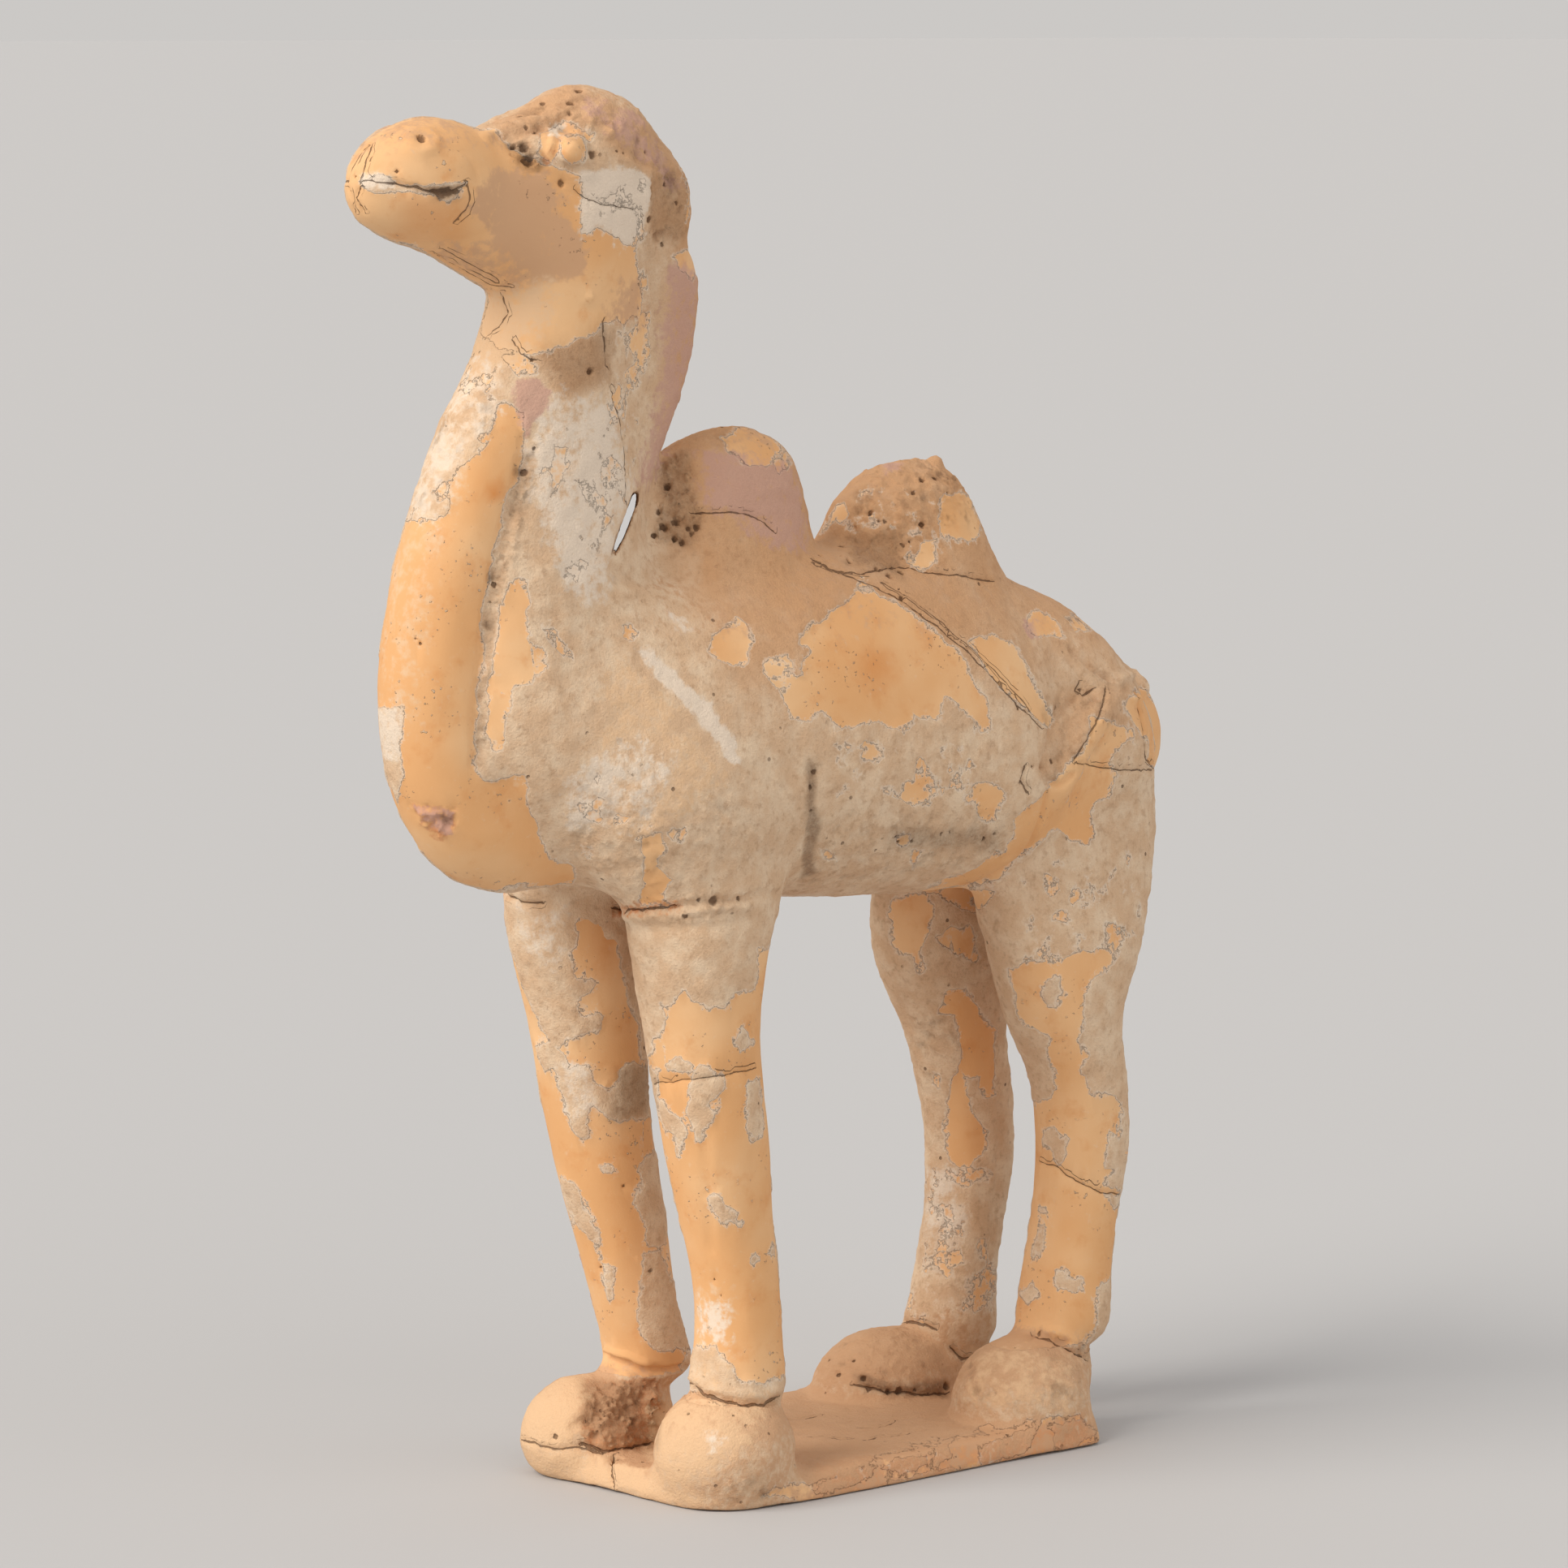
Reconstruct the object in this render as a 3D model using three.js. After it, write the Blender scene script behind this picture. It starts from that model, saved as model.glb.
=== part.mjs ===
// A Bactrian camel in fired clay, standing on the thin slab that it was modelled on.
// Millimetres. +Z is up, the camel faces -Y and its left side is +X.
// The origin is the middle of the slab's flat underside.
// The form is one field of signed distances, built up as a modeller builds it: rolled limbs, pads and
// lumps of clay that are pressed together and smoothed. One closed net is then drawn over its surface.
import * as THREE from "three";

// Driving dimensions
const SLAB_LENGTH = 131;
const SLAB_HALF_WIDTH = 38.5;
const SLAB_THICK = 7;
const SLAB_SPLAY = 2.5;
const BELLY_HEIGHT = 149;
const BACK_HEIGHT = 240;
const FRONT_HUMP_HEIGHT = 272;
const REAR_HUMP_HEIGHT = 260;
const CROWN_HEIGHT = 358;
const MUZZLE_REACH = 148;
const LEG_SPREAD = 20;
const FLANK_HALF_WIDTH = 38;
const NECK_HALF_WIDTH = 15;
const THROAT_ROLL = 13.4;

// Size of the net: its cells, where they are fine, and how many triangles are kept
const FINE_CELL = 3;
const COARSE_CELL = 4.4;
const FEET_HEIGHT = 30;
const CHIN_HEIGHT = 300;
const TRIANGLES = 9600;

// Two shapes together, and what two shapes share, rounded over the width k
function join(a, b, k) {
  const h = Math.max(k - Math.abs(a - b), 0) / k;
  return Math.min(a, b) - (h * h * k) / 4;
}

const both = (a, b, k) => -join(-a, -b, k);

// Distance to a section's rim, with half widths a and b, and corners squarer as power grows past 2
function section(p, q, a, b, power) {
  const reach = Math.hypot(p, q);
  if (reach < 1e-6) return -Math.min(a, b);
  const share = (Math.abs(p / a) ** power + Math.abs(q / b) ** power) ** (1 / power);
  return reach * (1 - 1 / share);
}

// A table of rows [place, value, value, ...] as a smooth function of place
function smoothTable(rows) {
  const width = rows[0].length - 1;
  const curve = new THREE.CubicInterpolant(
    rows.map((row) => row[0]),
    rows.flatMap((row) => row.slice(1)),
    width,
  );
  return (place) => curve.evaluate(place);
}

// Upright limb. Rows are [z, centre x, front y, back y, half width].
function upright(rows, { power = 2, capTop = 8, capFoot = 8 } = {}) {
  const at = smoothTable(rows);
  const foot = rows[0][0];
  const top = rows[rows.length - 1][0];
  return (x, y, z) => {
    const [cx, front, back, half] = at(z);
    const side = section(x - cx, y - (front + back) / 2, half, (back - front) / 2, power);
    return both(both(side, z - top, capTop), foot - z, capFoot);
  };
}

// Lengthwise barrel. Rows are [y, bottom z, top z, half width]; lean narrows it towards the back.
function barrel(rows, { power = 2, lean = 0, capFront = 20, capRear = 20 } = {}) {
  const at = smoothTable(rows);
  const front = rows[0][0];
  const rear = rows[rows.length - 1][0];
  return (x, y, z) => {
    const [bottom, top, half] = at(y);
    const rise = (z - (bottom + top) / 2) / ((top - bottom) / 2);
    const wide = half * (1 - lean * THREE.MathUtils.clamp(rise, -0.6, 1));
    const side = section(x, z - (bottom + top) / 2, wide, (top - bottom) / 2, power);
    return both(both(side, y - rear, capRear), front - y, capFront);
  };
}

// Egg with half widths size at centre, its front tipped down by an angle in degrees
function egg(centre, size, tip = 0) {
  const sine = Math.sin(THREE.MathUtils.degToRad(tip));
  const cosine = Math.cos(THREE.MathUtils.degToRad(tip));
  return (x, y, z) => {
    const dy = y - centre[1];
    const dz = z - centre[2];
    const px = (x - centre[0]) / size[0];
    const py = (cosine * dy + sine * dz) / size[1];
    const pz = (cosine * dz - sine * dy) / size[2];
    const far = Math.hypot(px, py, pz);
    const slope = Math.hypot(px / size[0], py / size[1], pz / size[2]);
    return slope < 1e-9 ? -Math.min(...size) : (far * (far - 1)) / slope;
  };
}

// Roll of clay along a smooth path through points [x, y, z, radius]
function roll(points) {
  const path = new THREE.CatmullRomCurve3(points.map(([x, y, z]) => new THREE.Vector3(x, y, z)));
  const radiusAt = smoothTable(points.map((point, i) => [i / (points.length - 1), point[3]]));
  const count = (points.length - 1) * 6;
  const beads = Array.from({ length: count + 1 }, (_, i) => [
    ...path.getPoint(i / count),
    radiusAt(i / count)[0],
  ]);
  return (x, y, z) => {
    let nearest = Infinity;
    for (let i = 0; i < count; i++) nearest = Math.min(nearest, stubGap(beads[i], beads[i + 1], x, y, z));
    return nearest;
  };
}

// Distance to a short taper between two beads [x, y, z, radius]
function stubGap([ax, ay, az, ar], [bx, by, bz, br], x, y, z) {
  const ux = bx - ax;
  const uy = by - ay;
  const uz = bz - az;
  const along = (x - ax) * ux + (y - ay) * uy + (z - az) * uz;
  const t = THREE.MathUtils.clamp(along / (ux * ux + uy * uy + uz * uz), 0, 1);
  const gap = Math.hypot(x - ax - ux * t, y - ay - uy * t, z - az - uz * t);
  return gap - ar - (br - ar) * t;
}

// Outline through corners [x, y, rounding]
function roundedCorners(corners) {
  return corners.flatMap(([x, y, radius], i) => {
    const corner = new THREE.Vector2(x, y);
    const before = corners[(i + corners.length - 1) % corners.length];
    const after = corners[(i + 1) % corners.length];
    const from = new THREE.Vector2(...before.slice(0, 2)).sub(corner).setLength(radius).add(corner);
    const to = new THREE.Vector2(...after.slice(0, 2)).sub(corner).setLength(radius).add(corner);
    return new THREE.QuadraticBezierCurve(from, corner, to).getPoints(5);
  });
}

// Distance from a point of the plan to a closed outline, negative inside it
function outlineGap(rim, x, y) {
  let near = Infinity;
  let inside = false;
  for (let i = 0, j = rim.length - 1; i < rim.length; j = i++) {
    const [ax, ay, bx, by] = [rim[j].x, rim[j].y, rim[i].x, rim[i].y];
    const [ux, uy] = [bx - ax, by - ay];
    const along = ((x - ax) * ux + (y - ay) * uy) / (ux * ux + uy * uy);
    const t = THREE.MathUtils.clamp(along, 0, 1);
    near = Math.min(near, Math.hypot(x - ax - ux * t, y - ay - uy * t));
    if (ay > y !== by > y && x < ax + (ux * (y - ay)) / uy) inside = !inside;
  }
  return inside ? -near : near;
}

// Trunk: the ribs bulge past the hindquarters, and the chest runs up into the neck.
const ribs = barrel(
  [
    [-104, BELLY_HEIGHT + 14, BACK_HEIGHT - 26, 22],
    [-75, BELLY_HEIGHT + 9, BACK_HEIGHT - 8, 33],
    [-40, BELLY_HEIGHT + 4, BACK_HEIGHT - 2, 37],
    [0, BELLY_HEIGHT, BACK_HEIGHT, FLANK_HALF_WIDTH],
    [35, BELLY_HEIGHT - 2, BACK_HEIGHT - 5, FLANK_HALF_WIDTH],
    [74, BELLY_HEIGHT + 1, BACK_HEIGHT - 25, FLANK_HALF_WIDTH - 2],
  ],
  { power: 2.3, lean: 0.13, capFront: 30, capRear: 34 },
);

const hindquarters = barrel(
  [
    [30, BELLY_HEIGHT + 10, BACK_HEIGHT - 6, 30],
    [66, BELLY_HEIGHT + 8, BACK_HEIGHT - 13, 31],
    [84, BELLY_HEIGHT + 8, BACK_HEIGHT - 21, 31],
    [98, BELLY_HEIGHT + 10, BACK_HEIGHT - 31, 30],
    [107, BELLY_HEIGHT + 12, BACK_HEIGHT - 39, 28],
  ],
  { power: 2.3, lean: 0.16, capFront: 20, capRear: 24 },
);

const shoulder = egg([LEG_SPREAD, -60, 178], [17.5, 30, 28]);

// Humps, the front one like a thumb and the rear one broken along its top
const frontHump = upright(
  [
    [226, 0, -72, 0, 20],
    [238, 0, -66, -3.5, 17.5],
    [248, 0, -60, -5, 14.5],
    [258, 0, -54, -7.5, 12.5],
    [266, 0, -50, -10, 10.5],
    [FRONT_HUMP_HEIGHT, 0, -42, -16, 8],
  ],
  { power: 2.1, capTop: 14 },
);

const rearHump = upright(
  [
    [222, 0, 2, 64, 22],
    [234, 0, 4.5, 59.5, 18],
    [244, 0, 7, 55, 14.5],
    [252, 0, 12, 51, 12],
    [REAR_HUMP_HEIGHT, 0, 20, 48, 9],
  ],
  { power: 2.1, capTop: 12 },
);

// Neck: a deep column, with the throat's long roll down its front and a thin mane down its back
const neck = upright(
  [
    [176, 0, -122, -60, 28],
    [200, 0, -126, -62, 26],
    [222, 0, -126, -63, 22.5],
    [252, 0, -119, -64, NECK_HALF_WIDTH + 3.5],
    [270, 0, -114, -65, NECK_HALF_WIDTH + 2],
    [286, 0, -110, -67, NECK_HALF_WIDTH + 1],
    [302, 0, -104, -66, NECK_HALF_WIDTH],
    [325, 0, -98, -60, NECK_HALF_WIDTH],
  ],
  { power: 2.2, capTop: 20, capFoot: 30 },
);

const throatRoll = roll([
  [0, -98, 288, THROAT_ROLL - 4.4],
  [0, -107, 273, THROAT_ROLL - 1.4],
  [0, -115.5, 252, THROAT_ROLL - 0.4],
  [0, -122.5, 230, THROAT_ROLL],
  [0, -124.7, 208, THROAT_ROLL + 0.4],
  [0, -119.8, 187, THROAT_ROLL + 0.8],
  [0, -108, 174.5, THROAT_ROLL + 1.1],
  [0, -86, 172.5, THROAT_ROLL - 0.4],
]);

const mane = upright(
  [
    [240, 0, -84, -58, 6.5],
    [256, 0, -84, -57, 7],
    [268, 0, -84, -53, 8],
    [282, 0, -84, -45.5, 8.5],
    [298, 0, -84, -41, 9],
    [312, 0, -82, -41.5, 9.5],
    [320, 0, -80, -45, 9.5],
  ],
  { power: 2.1, capTop: 8, capFoot: 8 },
);

// Head: skull, cheeks and muzzle along one level line, and a topknot of hair over the crown
const skull = egg([0, -79, CROWN_HEIGHT - 26], [16, 29, 20], -4);

const jaw = roll([
  [0, -84, 318, 15],
  [0, -104, 321.5, 12.5],
  [0, -116, 326.5, 11.5],
  [0, -127, 331, 9],
]);

const bridge = roll([
  [0, -82, 342, 12],
  [0, -96, 338.2, 12],
  [0, -107, 335.5, 11.5],
  [0, -121, 335.5, 11],
]);

const muzzle = egg([0, 18.5 - MUZZLE_REACH, CROWN_HEIGHT - 22], [13, 19, 14], 14);

const lowerLip = egg([0, 23 - MUZZLE_REACH, CROWN_HEIGHT - 27.7], [11, 15, 9], 12);

const topknot = egg([0, -74.5, CROWN_HEIGHT - 16.8], [15.5, 21, 16], -26);

const nape = egg([0, -58.5, CROWN_HEIGHT - 29], [13, 13, 16], 10);

const eye = egg([13, -92, CROWN_HEIGHT - 16], [3.8, 4.6, 4.2]);

// Legs. The left and right of a pair differ a little, as rolled clay does.
const foreLeft = upright(
  [
    [24, LEG_SPREAD, -55, -30.5, 12],
    [31, LEG_SPREAD, -55.5, -31, 12],
    [42, LEG_SPREAD, -54, -32, 10.8],
    [58, LEG_SPREAD, -55, -33.5, 10.8],
    [75, LEG_SPREAD, -59.5, -36, 11.8],
    [90, LEG_SPREAD, -63.5, -37, 13],
    [108, LEG_SPREAD, -67, -39.5, 13.4],
    [125, LEG_SPREAD, -70, -41, 14.6],
    [142, LEG_SPREAD, -74, -37.5, 15.6],
    [165, LEG_SPREAD, -78, -30, 16],
  ],
  { power: 2.2 },
);

const foreRight = upright(
  [
    [23, -LEG_SPREAD, -51, -28, 11.5],
    [31, -LEG_SPREAD, -51, -29, 11],
    [47, -LEG_SPREAD, -55.5, -34, 10.8],
    [65, -LEG_SPREAD, -61, -37, 12],
    [78, -LEG_SPREAD, -65.5, -40, 12.6],
    [98, -LEG_SPREAD, -70.5, -43, 13],
    [120, -LEG_SPREAD, -75, -45, 14],
    [142, -LEG_SPREAD, -81, -44, 15.6],
    [165, -LEG_SPREAD, -84, -36, 16],
  ],
  { power: 2.2 },
);

const hindLeft = upright(
  [
    [24, LEG_SPREAD, 58.5, 84, 12],
    [32, LEG_SPREAD, 59.5, 84.5, 12],
    [42, LEG_SPREAD, 61, 85, 11.4],
    [59, LEG_SPREAD, 64.5, 87.5, 10.8],
    [76, LEG_SPREAD, 66, 91.5, 11.6],
    [94, LEG_SPREAD, 64, 90, 12],
    [112, LEG_SPREAD, 54.5, 88, 13.5],
    [130, LEG_SPREAD, 48, 96, 14],
    [142, LEG_SPREAD - 2, 45, 101, 14],
    [165, LEG_SPREAD - 5, 46, 106, 14],
    [190, LEG_SPREAD - 8, 52, 100, 12],
  ],
  { power: 2.2, capTop: 20 },
);

const hindRight = upright(
  [
    [16, -LEG_SPREAD, 56, 80, 12],
    [24, -LEG_SPREAD, 56, 80, 12],
    [33, -LEG_SPREAD, 58, 80, 11],
    [50, -LEG_SPREAD, 62, 83, 10.5],
    [68, -LEG_SPREAD, 63.5, 86.5, 11.6],
    [86, -LEG_SPREAD, 61, 86, 12.2],
    [104, -LEG_SPREAD, 55.5, 83, 13],
    [122, -LEG_SPREAD, 45, 88, 14],
    [140, 2 - LEG_SPREAD, 40.5, 95, 14],
    [165, 5 - LEG_SPREAD, 46, 102, 14],
    [190, 8 - LEG_SPREAD, 52, 100, 12],
  ],
  { power: 2.2, capTop: 20 },
);

// Feet: broad pads pressed on to the slab. The right fore foot has lost its heel.
const feet = [
  egg([21, -48.5, 12], [17.5, 18.5, 17]),
  egg([-27, -53.5, 9.5], [17, 18, 15.5]),
  egg([-22, -43.5, 13], [11, 10.5, 18]),
  egg([22.5, 54, 10], [17.5, 19, 18]),
  egg([20, 65, 17], [12, 13, 14]),
  egg([-24, 48, 7.5], [17.5, 22, 16]),
  egg([-20, 66, 9], [12, 14, 14]),
];

// Tail: its root at the top of the rump and its tuft laid over the left haunch
const tailRoot = roll([
  [0, 93, 201, 7],
  [0, 105, 196, 8.5],
  [0, 113, 186, 9.5],
  [0, 113.5, 177, 9],
  [0, 108, 166, 6],
]);

const tail = roll([
  [4, 104, 193, 5.5],
  [17, 93, 197, 5.2],
  [27, 78, 195, 5],
  [32, 64, 187, 5.2],
  [33, 55, 176, 5],
]);

// Slab: hand cut, so that no two corners are alike, with sides that splay towards the table
const slabRim = roundedCorners([
  [-43.5, -63.5, 25],
  [2, -64.5, 20],
  [31, -60.5, 10],
  [SLAB_HALF_WIDTH - 2.5, -36, 10],
  [SLAB_HALF_WIDTH, SLAB_LENGTH / 2 + 0.5, 1.5],
  [-SLAB_HALF_WIDTH, SLAB_LENGTH / 2 + 13, 8],
]);

function slab(x, y, z) {
  const splay = SLAB_SPLAY * (1 - z / SLAB_THICK);
  return both(outlineGap(slabRim, x, y) - splay, z - SLAB_THICK, 1.5);
}

// The parts pressed together, each with the width of its own smoothed joint
function head(x, y, z) {
  const side = Math.abs(x);
  let d = join(skull(x, y, z), bridge(x, y, z), 8);
  d = join(d, jaw(x, y, z), 8);
  d = join(d, muzzle(x, y, z), 8);
  d = join(d, lowerLip(x, y, z), 2.5);
  d = join(d, topknot(x, y, z), 2.5);
  d = join(d, nape(x, y, z), 3);
  return join(d, eye(side, y, z), 1.5);
}

function trunk(x, y, z) {
  const side = Math.abs(x);
  let d = join(ribs(x, y, z), hindquarters(x, y, z), 4);
  d = join(d, shoulder(side, y, z), 8);
  d = join(d, neck(x, y, z), 16);
  d = join(d, frontHump(x, y, z), 4);
  return join(d, rearHump(x, y, z), 4);
}

function figure(x, y, z) {
  let d = trunk(x, y, z);
  for (const leg of [foreLeft, foreRight, hindLeft, hindRight]) d = join(d, leg(x, y, z), 4);
  d = join(d, throatRoll(x, y, z), 3);
  d = join(d, mane(x, y, z), 7);
  d = join(d, head(x, y, z), 6);
  d = join(d, tailRoot(x, y, z), 3);
  d = join(d, tail(x, y, z), 2.5);
  for (const foot of feet) d = join(d, foot(x, y, z), 2.5);
  d = join(d, slab(x, y, z), 3.5);
  return both(d, -z, 0.01);
}

// Grid of values of a field, on planes whose spacing may change along each axis
function sampled(field, xs, ys, zs) {
  const size = [xs.length, ys.length, zs.length];
  const index = (i, j, k) => i + size[0] * (j + size[1] * k);
  const values = new Float32Array(size[0] * size[1] * size[2]);
  eachCell(size, (i, j, k) => (values[index(i, j, k)] = field(xs[i], ys[j], zs[k])));
  return { xs, ys, zs, size, index, values };
}

function planes(from, to, cellAt) {
  const at = [from];
  while (at[at.length - 1] < to) at.push(at[at.length - 1] + cellAt(at[at.length - 1]));
  return at;
}

function eachCell([nx, ny, nz], visit, first = 0) {
  for (let k = first; k < nz; k++) {
    for (let j = first; j < ny; j++) {
      for (let i = first; i < nx; i++) visit(i, j, k);
    }
  }
}

// The four corners of a grid square that lies along two of the axes, or nothing beyond the grid
function squareCorners({ size, index }, place, u, v) {
  if (place[u] + 1 >= size[u] || place[v] + 1 >= size[v]) return [];
  return [[0, 0], [1, 0], [1, 1], [0, 1]].map(([du, dv]) => {
    const at = [...place];
    at[u] += du;
    at[v] += dv;
    return index(...at);
  });
}

// Where a grid square has clay at one diagonal only, the net would touch itself. The outer corner
// nearest the surface is filled.
function mendSquares(grid) {
  const { values } = grid;
  let mended = true;
  const mend = (square) => {
    const clay = square.map((corner) => values[corner] < 0);
    if (!square.length || clay[0] !== clay[2] || clay[1] !== clay[3] || clay[0] === clay[1]) return;
    const open = square.filter((corner, m) => !clay[m]);
    values[values[open[0]] < values[open[1]] ? open[0] : open[1]] = -0.05;
    mended = true;
  };
  while (mended) {
    mended = false;
    for (const [u, v] of [[0, 1], [1, 2], [2, 0]])
      eachCell(grid.size, (...place) => mend(squareCorners(grid, place, u, v)));
  }
  return grid;
}

// Points where the surface crosses the twelve edges of a cell
function crossingsOf({ xs, ys, zs, index, values }, i, j, k) {
  const crossings = [];
  const corner = (a, b, c) => [new THREE.Vector3(xs[a], ys[b], zs[c]), values[index(a, b, c)]];
  const probe = ([from, here], [to, there]) => {
    if (here < 0 !== there < 0) crossings.push(from.lerp(to, here / (here - there)));
  };
  for (const [u, v] of [[0, 0], [1, 0], [0, 1], [1, 1]]) {
    probe(corner(i, j + u, k + v), corner(i + 1, j + u, k + v));
    probe(corner(i + u, j, k + v), corner(i + u, j + 1, k + v));
    probe(corner(i + u, j + v, k), corner(i + u, j + v, k + 1));
  }
  return crossings;
}

// One vertex in each cell that the surface crosses, where the surface's planes at the crossings meet,
// so that an edge of the form stays an edge
function netVertices(field, grid) {
  const points = [];
  const vertexOf = new Map();
  const inner = grid.size.map((n) => n - 1);
  eachCell(inner, (i, j, k) => {
    const crossings = crossingsOf(grid, i, j, k);
    if (!crossings.length) return;
    const quadric = new Float64Array(10);
    const middle = new THREE.Vector3();
    for (const point of crossings) {
      middle.addScaledVector(point, 1 / crossings.length);
      addTerms(quadric, planeTerms(slopeAt(field, point), point), 1);
    }
    const low = new THREE.Vector3(grid.xs[i], grid.ys[j], grid.zs[k]);
    const high = new THREE.Vector3(grid.xs[i + 1], grid.ys[j + 1], grid.zs[k + 1]);
    vertexOf.set(grid.index(i, j, k), points.length);
    points.push(bestPoint(quadric, middle).clamp(low, high));
  });
  return { points, vertexOf };
}

function slopeAt(field, { x, y, z }) {
  const h = 0.2;
  return new THREE.Vector3(
    field(x + h, y, z) - field(x - h, y, z),
    field(x, y + h, z) - field(x, y - h, z),
    field(x, y, z + h) - field(x, y, z - h),
  ).normalize();
}

// One square of the net round each grid edge that the surface crosses, as two triangles
function surfaceNet(field, grid) {
  const { points, vertexOf } = netVertices(field, grid);
  const { index, values } = grid;
  const triangles = [];
  const around = (i, j, k, next, ring) => {
    const inside = values[index(i, j, k)] < 0;
    if (inside === values[next] < 0) return;
    const corners = ring.map(([di, dj, dk]) => vertexOf.get(index(i - di, j - dj, k - dk)));
    triangles.push(...halves(points, inside ? corners : corners.reverse()));
  };
  const inner = grid.size.map((n) => n - 1);
  eachCell(inner, (i, j, k) => {
    around(i, j, k, index(i + 1, j, k), [[0, 1, 1], [0, 0, 1], [0, 0, 0], [0, 1, 0]]);
    around(i, j, k, index(i, j + 1, k), [[1, 0, 1], [1, 0, 0], [0, 0, 0], [0, 0, 1]]);
    around(i, j, k, index(i, j, k + 1), [[1, 1, 0], [0, 1, 0], [0, 0, 0], [1, 0, 0]]);
  }, 1);
  return { points, triangles };
}

// Two triangles across the shorter diagonal of a square
function halves(points, [a, b, c, d]) {
  const short = points[a].distanceTo(points[c]) < points[b].distanceTo(points[d]);
  return short ? [[a, b, c], [a, c, d]] : [[a, b, d], [b, c, d]];
}

// A quadric is the sum of squared distances to some planes, as the ten terms of a symmetric matrix
function planeTerms({ x, y, z }, point) {
  const w = -(x * point.x + y * point.y + z * point.z);
  return [x * x, x * y, x * z, x * w, y * y, y * z, y * w, z * z, z * w, w * w];
}

function addTerms(quadric, terms, share) {
  terms.forEach((term, m) => (quadric[m] += term * share));
}

function misfit(q, { x, y, z }) {
  const squares = q[0] * x * x + q[4] * y * y + q[7] * z * z + q[9];
  return squares + 2 * (q[1] * x * y + q[2] * x * z + q[5] * y * z + q[3] * x + q[6] * y + q[8] * z);
}

// The point with the least misfit, held near the middle where the planes leave it free
function bestPoint(q, middle) {
  const hold = 0.02 * (q[0] + q[4] + q[7]) + 1e-6;
  const matrix = new THREE.Matrix3().set(
    q[0] + hold, q[1], q[2],
    q[1], q[4] + hold, q[5],
    q[2], q[5], q[7] + hold,
  );
  const pull = new THREE.Vector3(-q[3], -q[6], -q[8]).addScaledVector(middle, hold);
  return pull.applyMatrix3(matrix.invert());
}

// Fewer triangles: the edges whose loss moves the surface least are drawn together, in rounds
function thinned({ points, triangles }, limit, careAt) {
  const quadrics = points.map(() => new Float64Array(10));
  for (const triangle of triangles) {
    const [a, b, c] = triangle.map((v) => points[v]);
    const normal = new THREE.Vector3().crossVectors(b.clone().sub(a), c.clone().sub(a));
    const care = normal.length() * careAt(a.z);
    const terms = planeTerms(normal.normalize(), a);
    for (const v of triangle) addTerms(quadrics[v], terms, care);
  }
  let left = triangles;
  while (left.length > limit) left = thinningRound(points, left, quadrics, limit);
  return { points, triangles: left };
}

function thinningRound(points, triangles, quadrics, limit) {
  const around = points.map(() => []);
  triangles.forEach((triangle, t) => triangle.forEach((v) => around[v].push(t)));
  const edges = rankedEdges(points, triangles, quadrics);
  const quota = Math.min(edges.length * 0.4, triangles.length - limit);
  const touched = new Set();
  const gone = new Set();
  for (const edge of edges.slice(0, Math.ceil(edges.length * 0.35))) {
    if (gone.size >= quota) break;
    if (!collapsible(edge, points, triangles, around, touched)) continue;
    for (const t of [...around[edge.a], ...around[edge.b]]) triangles[t].forEach((v) => touched.add(v));
    points[edge.a].copy(edge.point);
    addTerms(quadrics[edge.a], quadrics[edge.b], 1);
    for (const t of around[edge.b]) {
      if (triangles[t].includes(edge.a)) gone.add(t);
      triangles[t] = triangles[t].map((v) => (v === edge.b ? edge.a : v));
    }
  }
  return triangles.filter((_, t) => !gone.has(t));
}

// Edges in order of what their loss costs. Long ones cost more, so that triangles stay even.
function rankedEdges(points, triangles, quadrics) {
  const edges = [];
  const rank = (a, b) => {
    if (a > b) return;
    const quadric = quadrics[a].map((term, m) => term + quadrics[b][m]);
    const point = bestPoint(quadric, points[a].clone().lerp(points[b], 0.5));
    const length = points[a].distanceTo(points[b]);
    edges.push({ a, b, point, cost: misfit(quadric, point) + 0.02 * length ** 3 });
  };
  for (const [a, b, c] of triangles) {
    rank(a, b);
    rank(b, c);
    rank(c, a);
  }
  return edges.sort((one, other) => one.cost - other.cost);
}

// An edge may go if nothing round it has moved, the net stays one sheet and no triangle turns over
function collapsible({ a, b, point }, points, triangles, around, touched) {
  const near = [...new Set([...around[a], ...around[b]])];
  if (near.some((t) => triangles[t].some((v) => touched.has(v)))) return false;
  const neighbours = (v) => new Set(around[v].flatMap((t) => triangles[t]));
  const ofA = neighbours(a);
  const shared = [...neighbours(b)].filter((v) => ofA.has(v));
  if (shared.length !== 4) return false;
  return near.every((t) => {
    const triangle = triangles[t];
    if (triangle.includes(a) && triangle.includes(b)) return true;
    const before = triangle.map((v) => points[v]);
    const after = triangle.map((v) => (v === a || v === b ? point : points[v]));
    return facing(before).dot(facing(after)) > 0.6;
  });
}

const facing = ([a, b, c]) =>
  new THREE.Vector3().crossVectors(b.clone().sub(a), c.clone().sub(a)).normalize();

function netGeometry({ points, triangles }) {
  const used = [...new Set(triangles.flat())];
  const place = new Map(used.map((v, i) => [v, i]));
  const geometry = new THREE.BufferGeometry().setFromPoints(used.map((v) => points[v]));
  geometry.setIndex(triangles.flat().map((v) => place.get(v)));
  geometry.computeVertexNormals();
  return geometry;
}

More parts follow.
